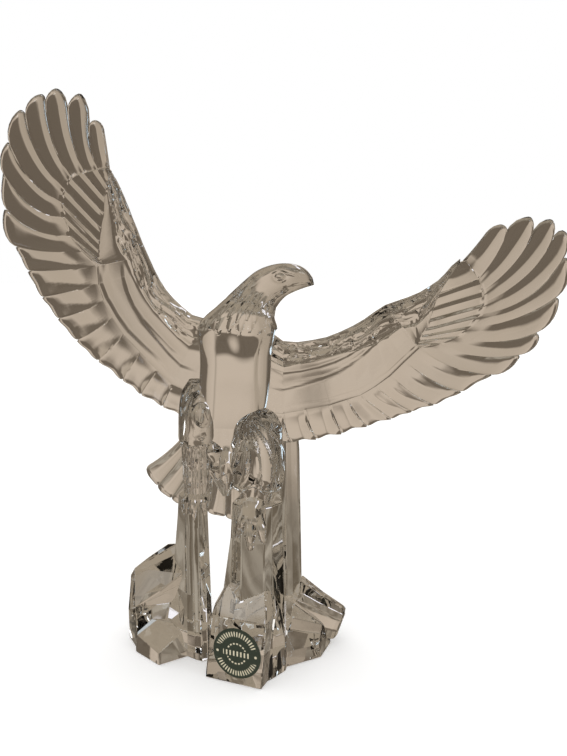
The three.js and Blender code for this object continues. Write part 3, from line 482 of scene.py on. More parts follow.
# Rings: left x, right x, height above the perch, place in depth, half depth
RIGHT_LEG = np.array([
    [11, 16.4, 37.8, -12.6, 3.4], [8, 20.4, 35.8, -14, 6.6], [5, 22.6, 32.8, -15.4, 8.8],
    [3.3, 23.6, 28.6, -16.9, 10.2], [2.6, 24.1, 22, -18, 11], [2.6, 24.4, 13, -18.5, 10.9],
    [3.4, 23.4, 5, -19.2, 9.8], [5, 21.4, -1, -19.5, 8],
])
LEFT_LEG = np.array([
    [-15.5, -10.5, 49.5, -10, 2.5], [-18.6, -7, 44, -11.5, 6.5], [-19.6, -4.6, 36, -13, 8.6],
    [-19.4, -5, 27, -13.5, 8.8], [-18.6, -6.4, 22.8, -13, 7.6], [-18.2, -6.6, 15, -12.2, 7],
    [-18.2, -6.8, 5, -11, 6.8], [-18.4, -7.2, -3, -10, 6.4],
])


def leg_rings(stops, around, relief_of):
    """Ovals down the leg, with the relief added outwards: x = middle + (half width + relief) cos, y the
    same with the half depth and sin."""
    levels = 84
    t = np.linspace(0, len(stops) - 1, levels)
    left, right, z, y, deep = spline(stops, t).T[:, :, None]
    turn = np.linspace(0, 2 * np.pi, around, endpoint=False)[None, :]
    middle, half = (left + right) / 2, (right - left) / 2
    z = np.broadcast_to(z, (levels, around))
    relief = relief_of(middle + half * np.cos(turn), z, turn) * soft_step(0, 0.8, t[:, None])
    x = middle + (half + relief) * np.cos(turn)
    return np.stack([x, y - (deep + relief) * np.sin(turn), z + PERCH], -1)


def right_thigh_relief(x, z, turn):
    """Six long feathers to a quarter turn fan out from a point at the top left: a feather's number grows
    with the angle from straight down, bent a little with the distance. They fade towards the back of the
    leg. The hem steps in at a ragged line, highest in the middle."""
    start_x, start_z = 4.5, 36.5
    reach = np.hypot(x - start_x, start_z - z)
    fan = (np.arctan2(x - start_x, start_z - z) + 0.024 * reach) / (np.pi / 2) * 6.0
    strand = fan % 1
    front = blend_of(0.1, 1, soft_step(-0.3, 0.3, np.sin(turn)))
    feather = 1.25 * (np.minimum(strand / 0.7, (1 - strand) / 0.3) - 0.5) * front
    rags = 0.9 * np.abs(((turn * 12 / (2 * np.pi)) % 1) * 2 - 1)
    hem_at = 5.2 + 3.4 * np.exp(-((x - 11.7) / 3.2) ** 2) + rags
    return feather * soft_step(5, 13, reach) - 1.6 * soft_step(-1.3, 1.1, hem_at - z)


def left_thigh_relief(x, z, turn):
    """A knee boss with a groove round it and an arched groove above, a small dimple, three scalloped hems
    lower down, and flutes along the shank."""
    front = soft_step(0.1, 0.5, np.sin(turn))
    boss_at = np.hypot((x + 9.3) / 3.2, (z - 36.4) / 4.4)
    boss = 0.9 * np.sqrt(np.clip(1 - boss_at ** 2, 0, 1)) - 0.4 * np.exp(-((boss_at - 1.2) / 0.2) ** 2)
    arch = -0.7 * cut_line(x, z, [(-17.5, 38.5), (-14.5, 44.5), (-10, 46.4), (-6.2, 43)], 1.3)
    dot = -0.8 * np.exp(-(np.hypot(x + 9.3, z - 27.6) / 0.9) ** 2)
    scallops = 0
    for height, drop, size, shift in ((24.4, 2.2, 0.9, 0.0), (15.6, 2.0, 0.45, 0.5), (7.4, 2.0, 0.4, 0.0)):
        bow = np.abs(((turn * 10 / (2 * np.pi) + shift) % 1) * 2 - 1)
        scallops = scallops + lip(height - drop * (1 - bow ** 2) - z, size, 5.0)
    flute = 0.3 * np.cos(turn * 12) * (1 - soft_step(21, 26, z))
    return (boss + arch + dot) * front + scallops + flute


right_leg = glass_piece("right_leg", *skin(leg_rings(RIGHT_LEG, 92, right_thigh_relief)), CARVED)
left_leg = glass_piece("left_leg", *skin(leg_rings(LEFT_LEG, 72, left_thigh_relief)), CARVED)


def tuft(path, widths):
    """A hanging tuft: an oval with three soft ridges carried along a smooth path of points, its half
    width following the given values and its half depth 1.1 times that."""
    t = np.linspace(0, len(path) - 1, 16)
    middle = spline(np.array(path, float), t)
    half = spline(np.array(widths, float)[:, None], t)
    turn = np.linspace(0, 2 * np.pi, 14, endpoint=False)[None, :]
    ridge = 1 + 0.12 * np.cos(3 * turn)
    x = middle[:, :1] + half * np.cos(turn) * ridge
    y = middle[:, 1:2] - half * 1.1 * np.sin(turn) * ridge
    return np.stack([x, y, np.broadcast_to(middle[:, 2:] + PERCH, x.shape)], -1)


# Path and half widths of each tuft
TUFTS = [
    ([(-5.2, -11, 27), (-5.0, -13.5, 20), (-4.6, -12.5, 14.2)], (3.0, 3.9, 0.9)),
    ([(-5.6, -9.5, 17), (-5.4, -11.5, 12), (-4.8, -10.5, 6.4)], (2.8, 3.7, 0.8)),
    ([(0.6, -10, 25), (0.8, -13, 12), (0.2, -10.5, -0.6)], (3.4, 4.3, 0.8)),
]
tufts = [glass_piece("vent_tuft_%d" % n, *skin(tuft(*parts)), CARVED) for n, parts in enumerate(TUFTS)]

# Feet. Part of the casting: the toes of each foot bend over the edge of the rock and end in claws. A
# short broad lobe lies over the roots of the right foot's claws.


def toe(knuckle, edge, tip, size):
    """A round toe along a smooth path over the edge, thinning by the power 1.5 of the way, with two soft
    knuckles from a cosine."""
    knuckle, edge, tip = (np.array(p, float) for p in (knuckle, edge, tip))
    between = np.array([(edge[0] + tip[0]) / 2, min(edge[1], tip[1]) - 1, (edge[2] + tip[2]) / 2])
    t = np.linspace(0, 3, 26)
    path = spline(np.stack([knuckle, edge, between, tip]), t)
    along = unit(np.gradient(path, axis=0))
    side = np.array([1.0, 0, 0])
    up = unit(np.cross(side, along))
    share = t / 3
    radius = blend_of(size, size * 0.36, share ** 1.5) * (1 + 0.09 * np.cos(share * 14))
    radius = radius * np.sqrt(np.clip(1.02 - share ** 8, 0.06, 1))
    turn = np.linspace(0, 2 * np.pi, 14, endpoint=False)[None, :, None]
    ring = side * np.cos(turn) + up[:, None] * np.sin(turn)
    return path[:, None] + ring * radius[:, None, None] + np.array([0, 0, PERCH])


# Knuckle, place on the rock's edge, tip, and radius at the knuckle: four right and three left
TOES = [
    ((9.6, -26, 0.6), (7.4, -31.4, -4.4), (5.0, -31.0, -12.0), 2.9),
    ((10.6, -26.5, 0.8), (10.6, -32.8, -7.4), (10.7, -31.8, -17.4), 3.1),
    ((11.8, -26, 0.6), (14.4, -31.6, -5.8), (16.2, -31.4, -14.6), 2.9),
    ((10.8, -25, 0.4), (11.0, -29.4, -4.0), (11.0, -28.6, -10.6), 5.2),
    ((-14, -11, 0.6), (-17.2, -14.2, -1.6), (-17.8, -13.6, -8.6), 2.2),
    ((-12.5, -11, 0.8), (-13.6, -15.4, -1.4), (-13.8, -15.4, -10.4), 2.2),
    ((-11, -11, 0.6), (-9.8, -14.6, -1.6), (-9.0, -14.2, -8.6), 2.2),
]
toes = [glass_piece("toe_%d" % n, *skin(toe(*stops)), CARVED) for n, stops in enumerate(TOES)]

# Rock. Tall crystals, a low block that carries the seal, a crag on the left and a blunt spur on the
# right. They are part of the same casting, with large flat facets and fire-polished edges.


def fire_polished(piece):
    """The piece with a bevel that rounds every edge sharper than 12 degrees, 0.45 mm wide."""
    bevel = piece.modifiers.new("fire-polished edge", "BEVEL")
    bevel.width = 0.45 * MM
    bevel.segments = 2
    bevel.limit_method = "ANGLE"
    bevel.angle_limit = math.radians(12)
    return piece


def crystal(name, levels):
    """A stack of polygons with the same number of corners, each given as its height and then its [x, y]
    corners, joined by flat facets."""
    rings = np.array([[(x, y, z) for x, y in corners] for z, *corners in levels], float)
    return fire_polished(glass_piece(name, *skin(rings), FACETTED))


rock = [
    crystal("front_block", [
        [0, (-8.5, -30), (15, -40), (19.5, -28.5), (21, -10), (0, -6), (-9, -17)],
        [28, (-5.5, -31.28), (17.2, -40.94), (20.4, -29), (20, -12), (1, -8), (-5, -20)],
        [39.5, (1, -26.4), (16.6, -33), (19.4, -29.6), (20, -12), (6.5, -8), (1.2, -20)],
    ]),
    crystal("front_crystal", [
        [0, (-7, -20), (4.8, -33), (15.6, -35.5), (19.6, -31.6), (25, -25), (28, -6), (8, 2)],
        [27.7, (-2.4, -24.5), (6.4, -32.6), (16.0, -34.2), (19.4, -31.2), (24.4, -24), (25.6, -6.5),
         (7.5, -2)],
        [58.4, (2, -23.5), (6.8, -30.7), (16.2, -31.8), (19.4, -29.4), (23.8, -23), (23.5, -7), (7, -4)],
        [73, (2.8, -22), (6.6, -28.6), (16.6, -29.6), (19.2, -27.6), (23.6, -22), (22.5, -7), (7, -5)],
    ]),
    crystal("left_crystal", [
        [0, (-30, -3), (-18, -13), (-14, -16), (-11, -17.4), (-8.6, -16), (-7, -8), (-9.5, 10), (-26, 14)],
        [29.2, (-25.5, -3), (-17.6, -13.2), (-14.2, -15.9), (-11.6, -16.9), (-9.2, -15.2), (-7.8, -8.5),
         (-10, 7), (-23, 10)],
        [59.9, (-22.6, -3), (-17.4, -13.2), (-14.4, -15.7), (-12, -16.6), (-10, -14.6), (-8.6, -9), (-10, 5),
         (-19.6, 7)],
        [71, (-21.8, -3), (-17, -12), (-14.4, -14.4), (-12.2, -15.2), (-10.4, -13.6), (-9, -8.6), (-10, 4),
         (-19, 6)],
    ]),
    crystal("rear_pillar", [
        [0, (18, 4), (22.6, 0), (25.6, -3.6), (28.4, -1.4), (31.8, 1), (33.6, 8), (30, 20), (19, 18)],
        [27.5, (18.5, 6), (22.9, 3.9), (25.6, 0.6), (28.2, 2.6), (31.4, 4.4), (32.4, 9), (29.5, 18),
         (19.5, 17)],
        [87, (19, 9), (22.8, 7.9), (25.2, 5.7), (27.4, 7.2), (30.2, 8.6), (31.3, 11.4), (29, 17), (20, 16)],
        [91.8, (19.2, 9.2), (22.8, 8.2), (25.2, 6.1), (27.3, 7.5), (29.9, 8.9), (30.9, 11.5), (28.8, 16.6),
         (20.1, 15.8)],
    ]),
    crystal("plinth", [
        [0, (-46.8, 5), (-17, -13), (-8, -17), (0, -20), (20, -14), (45.5, 0), (38, 20), (16, 27), (-7, 19),
         (-20, 27), (-40, 21)],
        [5, (-44, 4.5), (-16, -11.7), (-7.5, -15.3), (0, -18), (18.8, -12.6), (42.8, 0), (35.7, 18),
         (15, 24.3), (-6.6, 17.1), (-18.8, 24.3), (-37.6, 18.9)],
    ]),
]


def stone(name, corners):
    """The smallest convex body round its corners, for a crag whose facets all differ."""
    shell = bmesh.new()
    for corner in corners:
        shell.verts.new([c * MM for c in corner])
    hull = bmesh.ops.convex_hull(shell, input=shell.verts)
    inside = {v for v in hull["geom_interior"] + hull["geom_unused"] if isinstance(v, bmesh.types.BMVert)}
    bmesh.ops.delete(shell, geom=list(inside), context="VERTS")
    bmesh.ops.dissolve_limit(shell, angle_limit=math.radians(1.5), verts=shell.verts, edges=shell.edges)
    bmesh.ops.recalc_face_normals(shell, faces=shell.faces)
    mesh = bpy.data.meshes.new(name)
    shell.to_mesh(mesh)
    shell.free()
    mesh.polygons.foreach_set("material_index", np.full(len(mesh.polygons), FACETTED, dtype=np.int32))
    piece = bpy.data.objects.new(name, mesh)
    bpy.context.scene.collection.objects.link(piece)
    return fire_polished(piece)


CRAG = 46.5
rock += [
    stone("crag_slab", [
        (-20, 2, CRAG), (-28, 5, CRAG - 1.5), (-37, 5.5, CRAG * 0.83), (-43.5, 5, CRAG * 0.72),
        (-46, 8, CRAG * 0.62), (-44, 16, CRAG * 0.55), (-22, 16, CRAG * 0.8), (-20, -11, CRAG * 0.8),
        (-30, -10, CRAG * 0.62), (-41.5, -7, CRAG * 0.43), (-45.5, 1, CRAG * 0.33), (-20, -2, CRAG * 0.45),
        (-42, 14, CRAG * 0.3), (-20, 14, CRAG * 0.3)]),
    stone("crag_wall", [
        (-46.8, 5, 0), (-47, 5, CRAG * 0.3), (-46, 8, CRAG * 0.6), (-41, -7, CRAG * 0.3), (-41.5, -6, 0),
        (-36, 4, 0), (-36, 4, CRAG * 0.5), (-42, 20, 0), (-42, 16, CRAG * 0.5), (-20, 20, 0),
        (-20, 16, CRAG * 0.7), (-20, 6, 0), (-20, 6, CRAG * 0.6)]),
    stone("crag_foot", [
        (-41.4, -8.6, 0), (-29.4, -20.6, 0), (-17.5, -12.5, 0), (-14, 2, 0), (-44, 4, 0), (-40.6, -8, 7.6),
        (-29.6, -20, 5.2), (-22.5, -13.5, 9.5), (-32, -5, 13.5), (-17.5, -6, 11), (-15, 2, 9), (-43, 3, 11)]),
    stone("spur_wedge", [
        (15, -28, 0), (40.5, -13.5, 0), (45.5, 0, 0), (30, 12, 0), (16, -8, 0), (18, -27.5, 8),
        (39.5, -13.5, 6), (44.5, -1, 7), (41, -8.5, 13), (26.5, -16, 20), (20, -22, 16), (22, -8, 27),
        (32, 8, 18)]),
    stone("back_crag_left", [
        (-38, 6, 0), (-14, 4, 0), (-12, 18, 0), (-22, 25, 0), (-38, 20, 0), (-34, 10, 20), (-20, 6, 30),
        (-13, 8, 16), (-14, 16, 10), (-24, 21, 12), (-34, 18, 13)]),
    stone("back_crag_right", [
        (6, -4, 0), (30, 4, 0), (32, 19, 0), (16, 25, 0), (2, 18, 0), (10, -2, 24), (24, 4, 30), (28, 14, 20),
        (14, 21, 14), (5, 14, 12), (5, 4, 14)]),
]


def spur_rings():
    """A nine-sided spur along a straight line, its radius falling from 14.5 to 7.6, closed by a shallow
    blunt end."""
    start, end = np.array([27, 8, 14.0]), np.array([49.5, 1, 8.6])
    shares = np.array([0, 0.5, 0.93, 1, 1.03])
    radii = np.array([14.5, 10.6, 8.2, 7.6, 5.5])
    tall = np.array([1, 1, 0.98, 0.95, 0.95])
    turn = (np.arange(9) + 0.5) / 9 * 2 * np.pi
    side, up = unit(np.array([0.25, 1, 0])), unit(np.array([0.35, 0, 1]))
    middle = start + (end - start) * shares[:, None]
    return (middle[:, None] + side * (np.cos(turn)[None, :, None] * radii[:, None, None])
            + up * (np.sin(turn)[None, :, None] * (radii * tall)[:, None, None]))


rock.append(fire_polished(glass_piece("spur", *skin(spur_rings()), FACETTED)))

# The casting. Bird and rock are one solid of clear lead crystal, pressed in a mould and fire polished, so
# the shapes above are joined into one closed skin. The rock's facets stay crisp, and the bird is smooth
# but for its steps.
shapes = rock + [body, left_wing, right_wing, tail, right_leg, left_leg] + tufts + toes
whole = shapes[0]
for shape in shapes[1:]:
    union = whole.modifiers.new("one casting", "BOOLEAN")
    union.operation = "UNION"
    union.solver = "MANIFOLD"
    union.object = shape
joined = bpy.data.meshes.new_from_object(whole.evaluated_get(bpy.context.evaluated_depsgraph_get()))
crystal_eagle = bpy.data.objects.new("crystal_eagle_casting", joined)
bpy.context.scene.collection.objects.link(crystal_eagle)
for shape in shapes:
    bpy.data.objects.remove(shape, do_unlink=True)


def every(items, name, kind, width=1):
    """One property of all of a mesh's items as an array, width numbers to an item."""
    values = np.empty(len(items) * width, dtype=kind)
    items.foreach_get(name, values)
    return values


def crisp_edges(mesh, rock_angle, bird_angle):
    """Marks an edge sharp where the angle between its faces passes a limit: a low one between two facets
    of the rock, a high one elsewhere. The angle comes from the two face normals' dot product."""
    loops = every(mesh.loops, "edge_index", np.int32)
    sizes = every(mesh.polygons, "loop_total", np.int32)
    finish = every(mesh.polygons, "material_index", np.int32)
    normals = every(mesh.polygons, "normal", np.float32, 3).reshape(-1, 3)
    face_of = np.repeat(np.arange(len(sizes)), sizes)
    order = np.argsort(loops, kind="stable")
    edge, face = loops[order], face_of[order]
    first = np.flatnonzero(np.r_[True, edge[1:] != edge[:-1]])
    pair = first[np.r_[np.diff(first), len(edge) - first[-1]] == 2]
    one, other = face[pair], face[pair + 1]
    dot = np.einsum("ij,ij->i", normals[one], normals[other])
    both_rock = (finish[one] == FACETTED) & (finish[other] == FACETTED)
    limit = np.where(both_rock, math.cos(math.radians(rock_angle)), math.cos(math.radians(bird_angle)))
    sharp = np.zeros(len(mesh.edges), dtype=bool)
    sharp[edge[pair]] = dot < limit
    mesh.polygons.foreach_set("use_smooth", np.ones(len(sizes), dtype=bool))
    attribute = mesh.attributes.get("sharp_edge") or mesh.attributes.new("sharp_edge", "BOOLEAN", "EDGE")
    attribute.data.foreach_set("value", sharp)
    mesh.update()


crisp_edges(joined, rock_angle=6, bird_angle=42)


def feed(tree, socket, value):
    """Gives a node's input a number, a colour of three numbers or another node's output."""
    if isinstance(value, bpy.types.NodeSocket):
        tree.links.new(value, socket)
    elif isinstance(value, tuple):
        socket.default_value = (*value, 1)
    else:
        socket.default_value = value


def maths(tree, operation, *values):
    """A Math node of a node tree."""
    node = tree.nodes.new("ShaderNodeMath")
    node.operation = operation
    for socket, value in zip(node.inputs, values):
        feed(tree, socket, value)
    return node.outputs["Value"]


def ranged(tree, value, start, end, at_start=0.0, at_end=1.0, curve="SMOOTHSTEP"):
    """A Map Range node: at_start up to start, at_end from end on, and a smooth or straight way between."""
    node = tree.nodes.new("ShaderNodeMapRange")
    node.interpolation_type = curve
    for socket, given in (("Value", value), ("From Min", start), ("From Max", end), ("To Min", at_start),
                          ("To Max", at_end)):
        feed(tree, node.inputs[socket], given)
    return node.outputs["Result"]


def mixed(tree, factor, first, second):
    """A Mix node of two colours: the first at 0 and the second at 1."""
    node = tree.nodes.new("ShaderNodeMix")
    node.data_type = "RGBA"
    for socket, given in (("Factor", factor), ("A", first), ("B", second)):
        feed(tree, node.inputs[socket], given)
    return node.outputs["Result"]


def noise(tree, place, scale, detail):
    """A Noise node of three dimensions."""
    node = tree.nodes.new("ShaderNodeTexNoise")
    for socket, given in (("Vector", place), ("Scale", scale), ("Detail", detail)):
        feed(tree, node.inputs[socket], given)
    return node.outputs["Fac"]


# One shader node group for both finishes: the slow ripple that fire polishing leaves with a little fine
# ripple on it, uneven polish, and a tint that wanders between faintly warm and faintly cool
ripple = bpy.data.node_groups.new("glass ripple", "ShaderNodeTree")
for socket, way, kind in (
        ("Vector", "INPUT", "Vector"), ("Ripple size", "INPUT", "Float"), ("Fine share", "INPUT", "Float"),
        ("Height", "OUTPUT", "Float"), ("Polish", "OUTPUT", "Float"), ("Tint", "OUTPUT", "Color")):
    ripple.interface.new_socket(socket, in_out=way, socket_type="NodeSocket" + kind)
given = ripple.nodes.new("NodeGroupInput").outputs
slow = noise(ripple, given["Vector"], given["Ripple size"], 1.0)
fine = noise(ripple, given["Vector"], 420, 2.0)
marks = noise(ripple, given["Vector"], 95, 4.0)
results = {
    "Height": maths(ripple, "MULTIPLY_ADD", fine, given["Fine share"], slow),
    "Polish": ranged(ripple, marks, 0.45, 0.8, 0.0, 0.035, "LINEAR"),
    "Tint": mixed(ripple, slow, (1.0, 0.985, 0.965), (0.965, 0.975, 0.985)),
}
group_out = ripple.nodes.new("NodeGroupOutput")
for socket, result in results.items():
    ripple.links.new(result, group_out.inputs[socket])


def crystal_glass(name, ripple_size, fine_share, strength, distance):
    """Clear glass: full transmission, index 1.54, faint uneven polish as roughness, ripple as bump."""
    material = bpy.data.materials.new(name)
    material.use_nodes = True
    nodes, link = material.node_tree.nodes, material.node_tree.links.new
    shader = nodes["Principled BSDF"]
    shader.inputs["Transmission Weight"].default_value = 1.0
    shader.inputs["Metallic"].default_value = 0.0
    shader.inputs["IOR"].default_value = 1.54
    place = nodes.new("ShaderNodeTexCoord")
    pattern = nodes.new("ShaderNodeGroup")
    pattern.node_tree = ripple
    pattern.inputs["Ripple size"].default_value = ripple_size
    pattern.inputs["Fine share"].default_value = fine_share
    bump = nodes.new("ShaderNodeBump")
    bump.inputs["Strength"].default_value = strength
    bump.inputs["Distance"].default_value = distance
    link(place.outputs["Object"], pattern.inputs["Vector"])
    link(pattern.outputs["Height"], bump.inputs["Height"])
    link(bump.outputs["Normal"], shader.inputs["Normal"])
    link(pattern.outputs["Polish"], shader.inputs["Roughness"])
    link(pattern.outputs["Tint"], shader.inputs["Base Color"])
    return material


joined.materials.clear()
joined.materials.append(crystal_glass(
    "carved crystal", ripple_size=60, fine_share=0.03, strength=0.2, distance=0.0008))
joined.materials.append(crystal_glass(
    "facetted crystal", ripple_size=55, fine_share=0.03, strength=0.3, distance=0.0009))
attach(crystal_eagle, "root")
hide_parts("crystal_eagle")

# Seal. A round sticker of dark green foil on the block's face, a separate thin disc with a soft raised
# rim. It is printed with short cream strokes: two arcs of them near the edge with a dot on either side, a
# dashed ring and a short row.
seal_low, seal_high = (np.array(c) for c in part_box("foil_seal"))
seal_middle = (seal_low + seal_high) / 2
# The way straight out of the block's face, the level way along it, and the way up, all of length 1
SEAL_OUT = np.array([-0.3916, -0.9201, 0.0])
SEAL_ALONG = np.array([0.9201, -0.3916, 0.0])
SEAL_UP = np.array([0, 0, 1.0])
SEAL_RADIUS = 10.75 * MM


def seal_grid():
    """The disc as a grid of radius by turn. Its height off the rock is a thin sheet with a soft rim,
    lowest at the edge: 0.42 mm times the root of 1 - (r/R)^24, plus a raised ring at 0.935 R."""
    inner, rim = np.linspace(0.04, 0.88, 12), [0.905, 0.925, 0.945, 0.965, 0.98, 0.992, 1.0]
    r = np.concatenate([inner, rim])[:, None]
    turn = np.linspace(0, 2 * np.pi, 96, endpoint=False)[None, :]
    lift = 0.42 * np.sqrt(np.clip(1 - r ** 24, 0, 1)) + 0.05 * np.exp(-((r - 0.935) / 0.014) ** 2)
    level, upright = r * np.cos(turn), r * np.sin(turn)
    flat = (SEAL_ALONG * level[..., None] + SEAL_UP * upright[..., None]) * SEAL_RADIUS
    return flat, lift * MM


seal_flat, seal_lift = seal_grid()
under = seal_middle - SEAL_OUT * 0.25 * MM
lifted = 0.05 * MM + np.broadcast_to(seal_lift, seal_flat.shape[:2])
top = under + seal_flat + SEAL_OUT * lifted[..., None]
disc_rings = np.concatenate([top, under + seal_flat[-1:], under + seal_flat[:1]])
seal_points, seal_faces = skin(disc_rings / MM)
seal_mesh = bpy.data.meshes.new("foil_seal_disc")
seal_mesh.from_pydata((seal_points * MM).tolist(), [], seal_faces)
seal_mesh.polygons.foreach_set("use_smooth", np.ones(len(seal_mesh.polygons), dtype=bool))
seal_mesh.set_sharp_from_angle(angle=math.radians(40))
# The map lies flat on the disc: its middle at 0.5, 0.5, its edge 0.5 away
spot = (seal_points[every(seal_mesh.loops, "vertex_index", np.int32)] * MM - under) / SEAL_RADIUS
uv = seal_mesh.uv_layers.new(name="disc")
uv.data.foreach_set("uv", np.stack([spot @ SEAL_ALONG * 0.5 + 0.5, spot[:, 2] * 0.5 + 0.5], -1).ravel())
seal = bpy.data.objects.new("green_foil_seal", seal_mesh)
bpy.context.scene.collection.objects.link(seal)

foil = bpy.data.materials.new("printed green foil")
foil.use_nodes = True
print_tree = foil.node_tree
nodes, link = print_tree.nodes, print_tree.links.new
shader = nodes["Principled BSDF"]
place = nodes.new("ShaderNodeUVMap")
place.uv_map = "disc"
split = nodes.new("ShaderNodeSeparateXYZ")
link(place.outputs["UV"], split.inputs["Vector"])


def product(*values):
    """The values multiplied together in the foil's node tree."""
    result = values[0]
    for value in values[1:]:
        result = maths(print_tree, "MULTIPLY", result, value)
    return result


def size_of(value):
    """The value without its sign."""
    return maths(print_tree, "ABSOLUTE", value)


def distance(x, y):
    """The length of the way from 0, 0 to x, y."""
    return maths(print_tree, "SQRT", maths(print_tree, "ADD", product(x, x), product(y, y)))


def above(value, start, end):
    """0 up to start and 1 from end on."""
    return ranged(print_tree, value, start, end)


def below(value, start, end):
    """1 up to start and 0 from end on."""
    return ranged(print_tree, value, start, end, 1.0, 0.0)


def ring(at, half_width):
    """1 where the radius lies within half_width of at, with a narrow soft edge."""
    return below(size_of(maths(print_tree, "SUBTRACT", radius, at)), half_width * 0.75, half_width * 1.25)


def stripes(value, count, limit):
    """1 in the part of each period where the sine of count times the value passes a limit."""
    return maths(print_tree, "GREATER_THAN", maths(print_tree, "SINE", product(value, count)), limit)


# Both coordinates run from -1 to 1 over the disc
across_disc = maths(print_tree, "MULTIPLY_ADD", split.outputs["X"], 2.0, -1.0)
up_disc = maths(print_tree, "MULTIPLY_ADD", split.outputs["Y"], 2.0, -1.0)
radius = distance(across_disc, up_disc)
angle = maths(print_tree, "ARCTAN2", up_disc, across_disc)
side_off = maths(print_tree, "SUBTRACT", size_of(across_disc), 0.80)
printed_marks = [
    # Two arcs of short strokes, open at both sides
    product(ring(0.78, 0.095), stripes(angle, 46.0, 0.1), above(size_of(up_disc), 0.27, 0.30)),
    # A dot in each opening
    below(distance(side_off, up_disc), 0.045, 0.06),
    # The dashed ring, open at both sides
    product(ring(0.40, 0.03), stripes(angle, 18.0, -0.2), above(size_of(up_disc), 0.15, 0.17)),
    # The row of strokes across the middle
    product(below(size_of(up_disc), 0.09, 0.11), below(radius, 0.56, 0.57), stripes(across_disc, 42.0, 0.25)),
]
cream_mask = printed_marks[0]
for mark in printed_marks[1:]:
    cream_mask = maths(print_tree, "MAXIMUM", cream_mask, mark)
grain = noise(print_tree, nodes.new("ShaderNodeTexCoord").outputs["Object"], 2600, 3)
green = mixed(print_tree, grain, (0.032, 0.045, 0.029), (0.054, 0.070, 0.046))
link(mixed(print_tree, cream_mask, green, (0.78, 0.72, 0.53)), shader.inputs["Base Color"])
link(maths(print_tree, "MULTIPLY_ADD", grain, 0.2, 0.32), shader.inputs["Roughness"])
foil_bump = nodes.new("ShaderNodeBump")
foil_bump.inputs["Strength"].default_value = 0.25
foil_bump.inputs["Distance"].default_value = 0.0001
link(grain, foil_bump.inputs["Height"])
link(foil_bump.outputs["Normal"], shader.inputs["Normal"])
shader.inputs["Metallic"].default_value = 0.25
seal_mesh.materials.append(foil)
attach(seal, "root")
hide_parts("foil_seal")

# Studio. A plain pale floor and background for the camera, a room of soft bands of light that only the
# glass sees and refracts, and the photograph's camera.
floor_mesh = bpy.data.meshes.new("floor")
floor_corners = [(x, y, -0.0002) for x, y in ((-4, -4), (4, -4), (4, 4), (-4, 4))]
floor_mesh.from_pydata(floor_corners, [], [(0, 1, 2, 3)])
floor = bpy.data.objects.new("floor", floor_mesh)
bpy.context.scene.collection.objects.link(floor)
floor_look = bpy.data.materials.new("pale floor")
floor_look.use_nodes = True
shader = floor_look.node_tree.nodes["Principled BSDF"]
shader.inputs["Roughness"].default_value = 1.0
shader.inputs["Specular IOR Level"].default_value = 0.0
shader.inputs["Base Color"].default_value = (0.97, 0.97, 0.97, 1)
shader.inputs["Emission Color"].default_value = (1, 1, 1, 1)
shader.inputs["Emission Strength"].default_value = 0.28
floor_mesh.materials.append(floor_look)
floor.visible_transmission = False
floor.visible_glossy = False

world = bpy.data.worlds.new("studio room")
bpy.context.scene.world = world
world.use_nodes = True
room = world.node_tree
room.nodes.clear()
toward = room.nodes.new("ShaderNodeTexCoord").outputs["Generated"]
split = room.nodes.new("ShaderNodeSeparateXYZ")
room.links.new(toward, split.inputs["Vector"])
# Degrees in a radian, to read directions as degrees to the right of straight behind the figure and
# degrees up
DEGREES = 57.296
bearing = maths(room, "MULTIPLY", maths(room, "ARCTAN2", split.outputs["X"], split.outputs["Y"]), DEGREES)
height = maths(room, "MULTIPLY", maths(room, "ARCSINE", split.outputs["Z"]), DEGREES)
off_middle = maths(room, "ABSOLUTE", bearing)
off_level = maths(room, "ABSOLUTE", height)

# The pale wall behind: on the left below a line that climbs away, on the right above one that climbs away
left_line = maths(room, "MAXIMUM", -4.0, maths(room, "MULTIPLY_ADD", bearing, -1.7, -21.0))
below_left = ranged(room, maths(room, "SUBTRACT", height, left_line), -3, 3, 1, 0)
left_wall = maths(room, "MULTIPLY", below_left, ranged(room, bearing, 0, 5, 1, 0))
right_line = maths(room, "MAXIMUM", -13.0, maths(room, "MULTIPLY_ADD", bearing, 1.3, -23.0))
above_right = ranged(room, maths(room, "SUBTRACT", height, right_line), -2.5, 2.5)
right_wall = maths(room, "MULTIPLY", above_right, ranged(room, bearing, 0, 4))
wide = ranged(room, off_middle, 27, 48, 1, 0)
deep = maths(room, "MULTIPLY", ranged(room, height, -24, -17), ranged(room, height, 18, 30, 1, 0))
both_walls = maths(room, "MAXIMUM", left_wall, right_wall)
wall = maths(room, "MULTIPLY", both_walls, maths(room, "MULTIPLY", wide, deep))
# Away from the wall the room is brown, darker to the sides
glow = mixed(room, ranged(room, split.outputs["Y"], 0.45, 0.9), (0.105, 0.085, 0.063), (0.132, 0.104, 0.077))
# The side of the room in front of the figure is paler, so that its back looks clear too
glow = mixed(room, ranged(room, split.outputs["Y"], -0.97, -0.72, 1, 0), glow, (0.33, 0.275, 0.21))
# Well above and below eye level, where mostly the rock looks, it has soft upright stripes, pale and dark,
# as by glazing bars
bars = room.nodes.new("ShaderNodeTexNoise")
bars.noise_dimensions = "1D"
bars.inputs["Scale"].default_value = 1.0
bars.inputs["Detail"].default_value = 2.0
room.links.new(maths(room, "MULTIPLY", bearing, 0.31), bars.inputs["W"])
pale_bar = ranged(room, bars.outputs["Fac"], 0.36, 0.68)
striped = mixed(room, pale_bar, (0.125, 0.099, 0.069), (0.40, 0.352, 0.285))
far_up_or_down = maths(room, "MAXIMUM", ranged(room, height, -24, -15, 1, 0), ranged(room, height, 20, 32))
glow = mixed(room, far_up_or_down, glow, striped)
# Still farther up and down it is an even beige
glow = mixed(room, ranged(room, off_level, 30, 38), glow, (0.34, 0.283, 0.212))
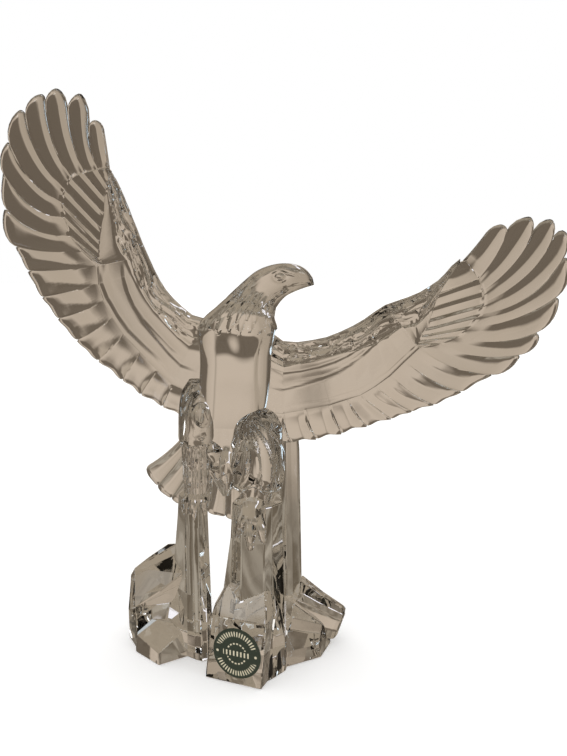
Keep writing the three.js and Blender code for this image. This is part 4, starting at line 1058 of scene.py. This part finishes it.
# The wall is brightest behind the figure and dimmer to both sides
wall_colour = mixed(room, ranged(room, off_middle, 3, 21), (0.555, 0.462, 0.37), (0.40, 0.33, 0.255))
glow = mixed(room, wall, glow, wall_colour)
# Windows and lamps: bearing, height and radius in degrees, strength, colour
WINDOWS = [
    (-128, 38, 6, 2.6, (1, 1, 1)),
    (125, 32, 8, 2, (0.8, 0.92, 1)),
    (-66, 6, 8, 1.7, (0.72, 0.88, 1)),
    (62, 24, 8, 1.1, (1, 0.97, 0.92)),
    (42, 66, 12, 0.62, (0.92, 0.97, 1)),
    (10, -62, 12, 0.36, (1, 0.88, 0.73)),
    (-36, -37, 5.5, 1.2, (0.97, 0.95, 1)),
    (-121, -34, 5, 1.1, (0.97, 0.95, 1)),
]
for at, up, size, strength, colour in WINDOWS:
    turn, climb = math.radians(at), math.radians(up)
    aim = room.nodes.new("ShaderNodeVectorMath")
    aim.operation = "DOT_PRODUCT"
    aim.inputs[1].default_value = (
        math.sin(turn) * math.cos(climb), math.cos(turn) * math.cos(climb), math.sin(climb))
    room.links.new(toward, aim.inputs[0])
    outer, inner = math.cos(math.radians(size * 1.2)), math.cos(math.radians(size * 0.85))
    near = ranged(room, aim.outputs["Value"], outer, inner)
    glow = mixed(room, near, glow, tuple(c * strength for c in colour))
lit = room.nodes.new("ShaderNodeBackground")
room.links.new(glow, lit.inputs["Color"])
plain = room.nodes.new("ShaderNodeBackground")
plain.inputs["Color"].default_value = (1, 1, 1, 1)
path = room.nodes.new("ShaderNodeLightPath").outputs
choose = room.nodes.new("ShaderNodeMixShader")
room.links.new(maths(room, "MAXIMUM", path["Is Camera Ray"], path["Is Diffuse Ray"]), choose.inputs["Fac"])
room.links.new(lit.outputs["Background"], choose.inputs[1])
room.links.new(plain.outputs["Background"], choose.inputs[2])
out = room.nodes.new("ShaderNodeOutputWorld")
room.links.new(choose.outputs["Shader"], out.inputs["Surface"])

# The photograph's camera: a focal length of 800 pixels in a frame 756 high, 0.34 m in front, looking 9
# degrees down
lens = bpy.data.cameras.new("camera")
lens.sensor_fit = "VERTICAL"
lens.sensor_height = 36
lens.lens = 36 * 800 / 756
lens.clip_start, lens.clip_end = 0.01, 20
camera = bpy.data.objects.new("camera", lens)
camera.location = (24 * MM, -340 * MM, 175.3 * MM)
camera.rotation_euler = (math.radians(90 - 9), 0, 0)
bpy.context.scene.collection.objects.link(camera)
bpy.context.scene.camera = camera
bpy.context.scene.view_settings.view_transform = "Standard"
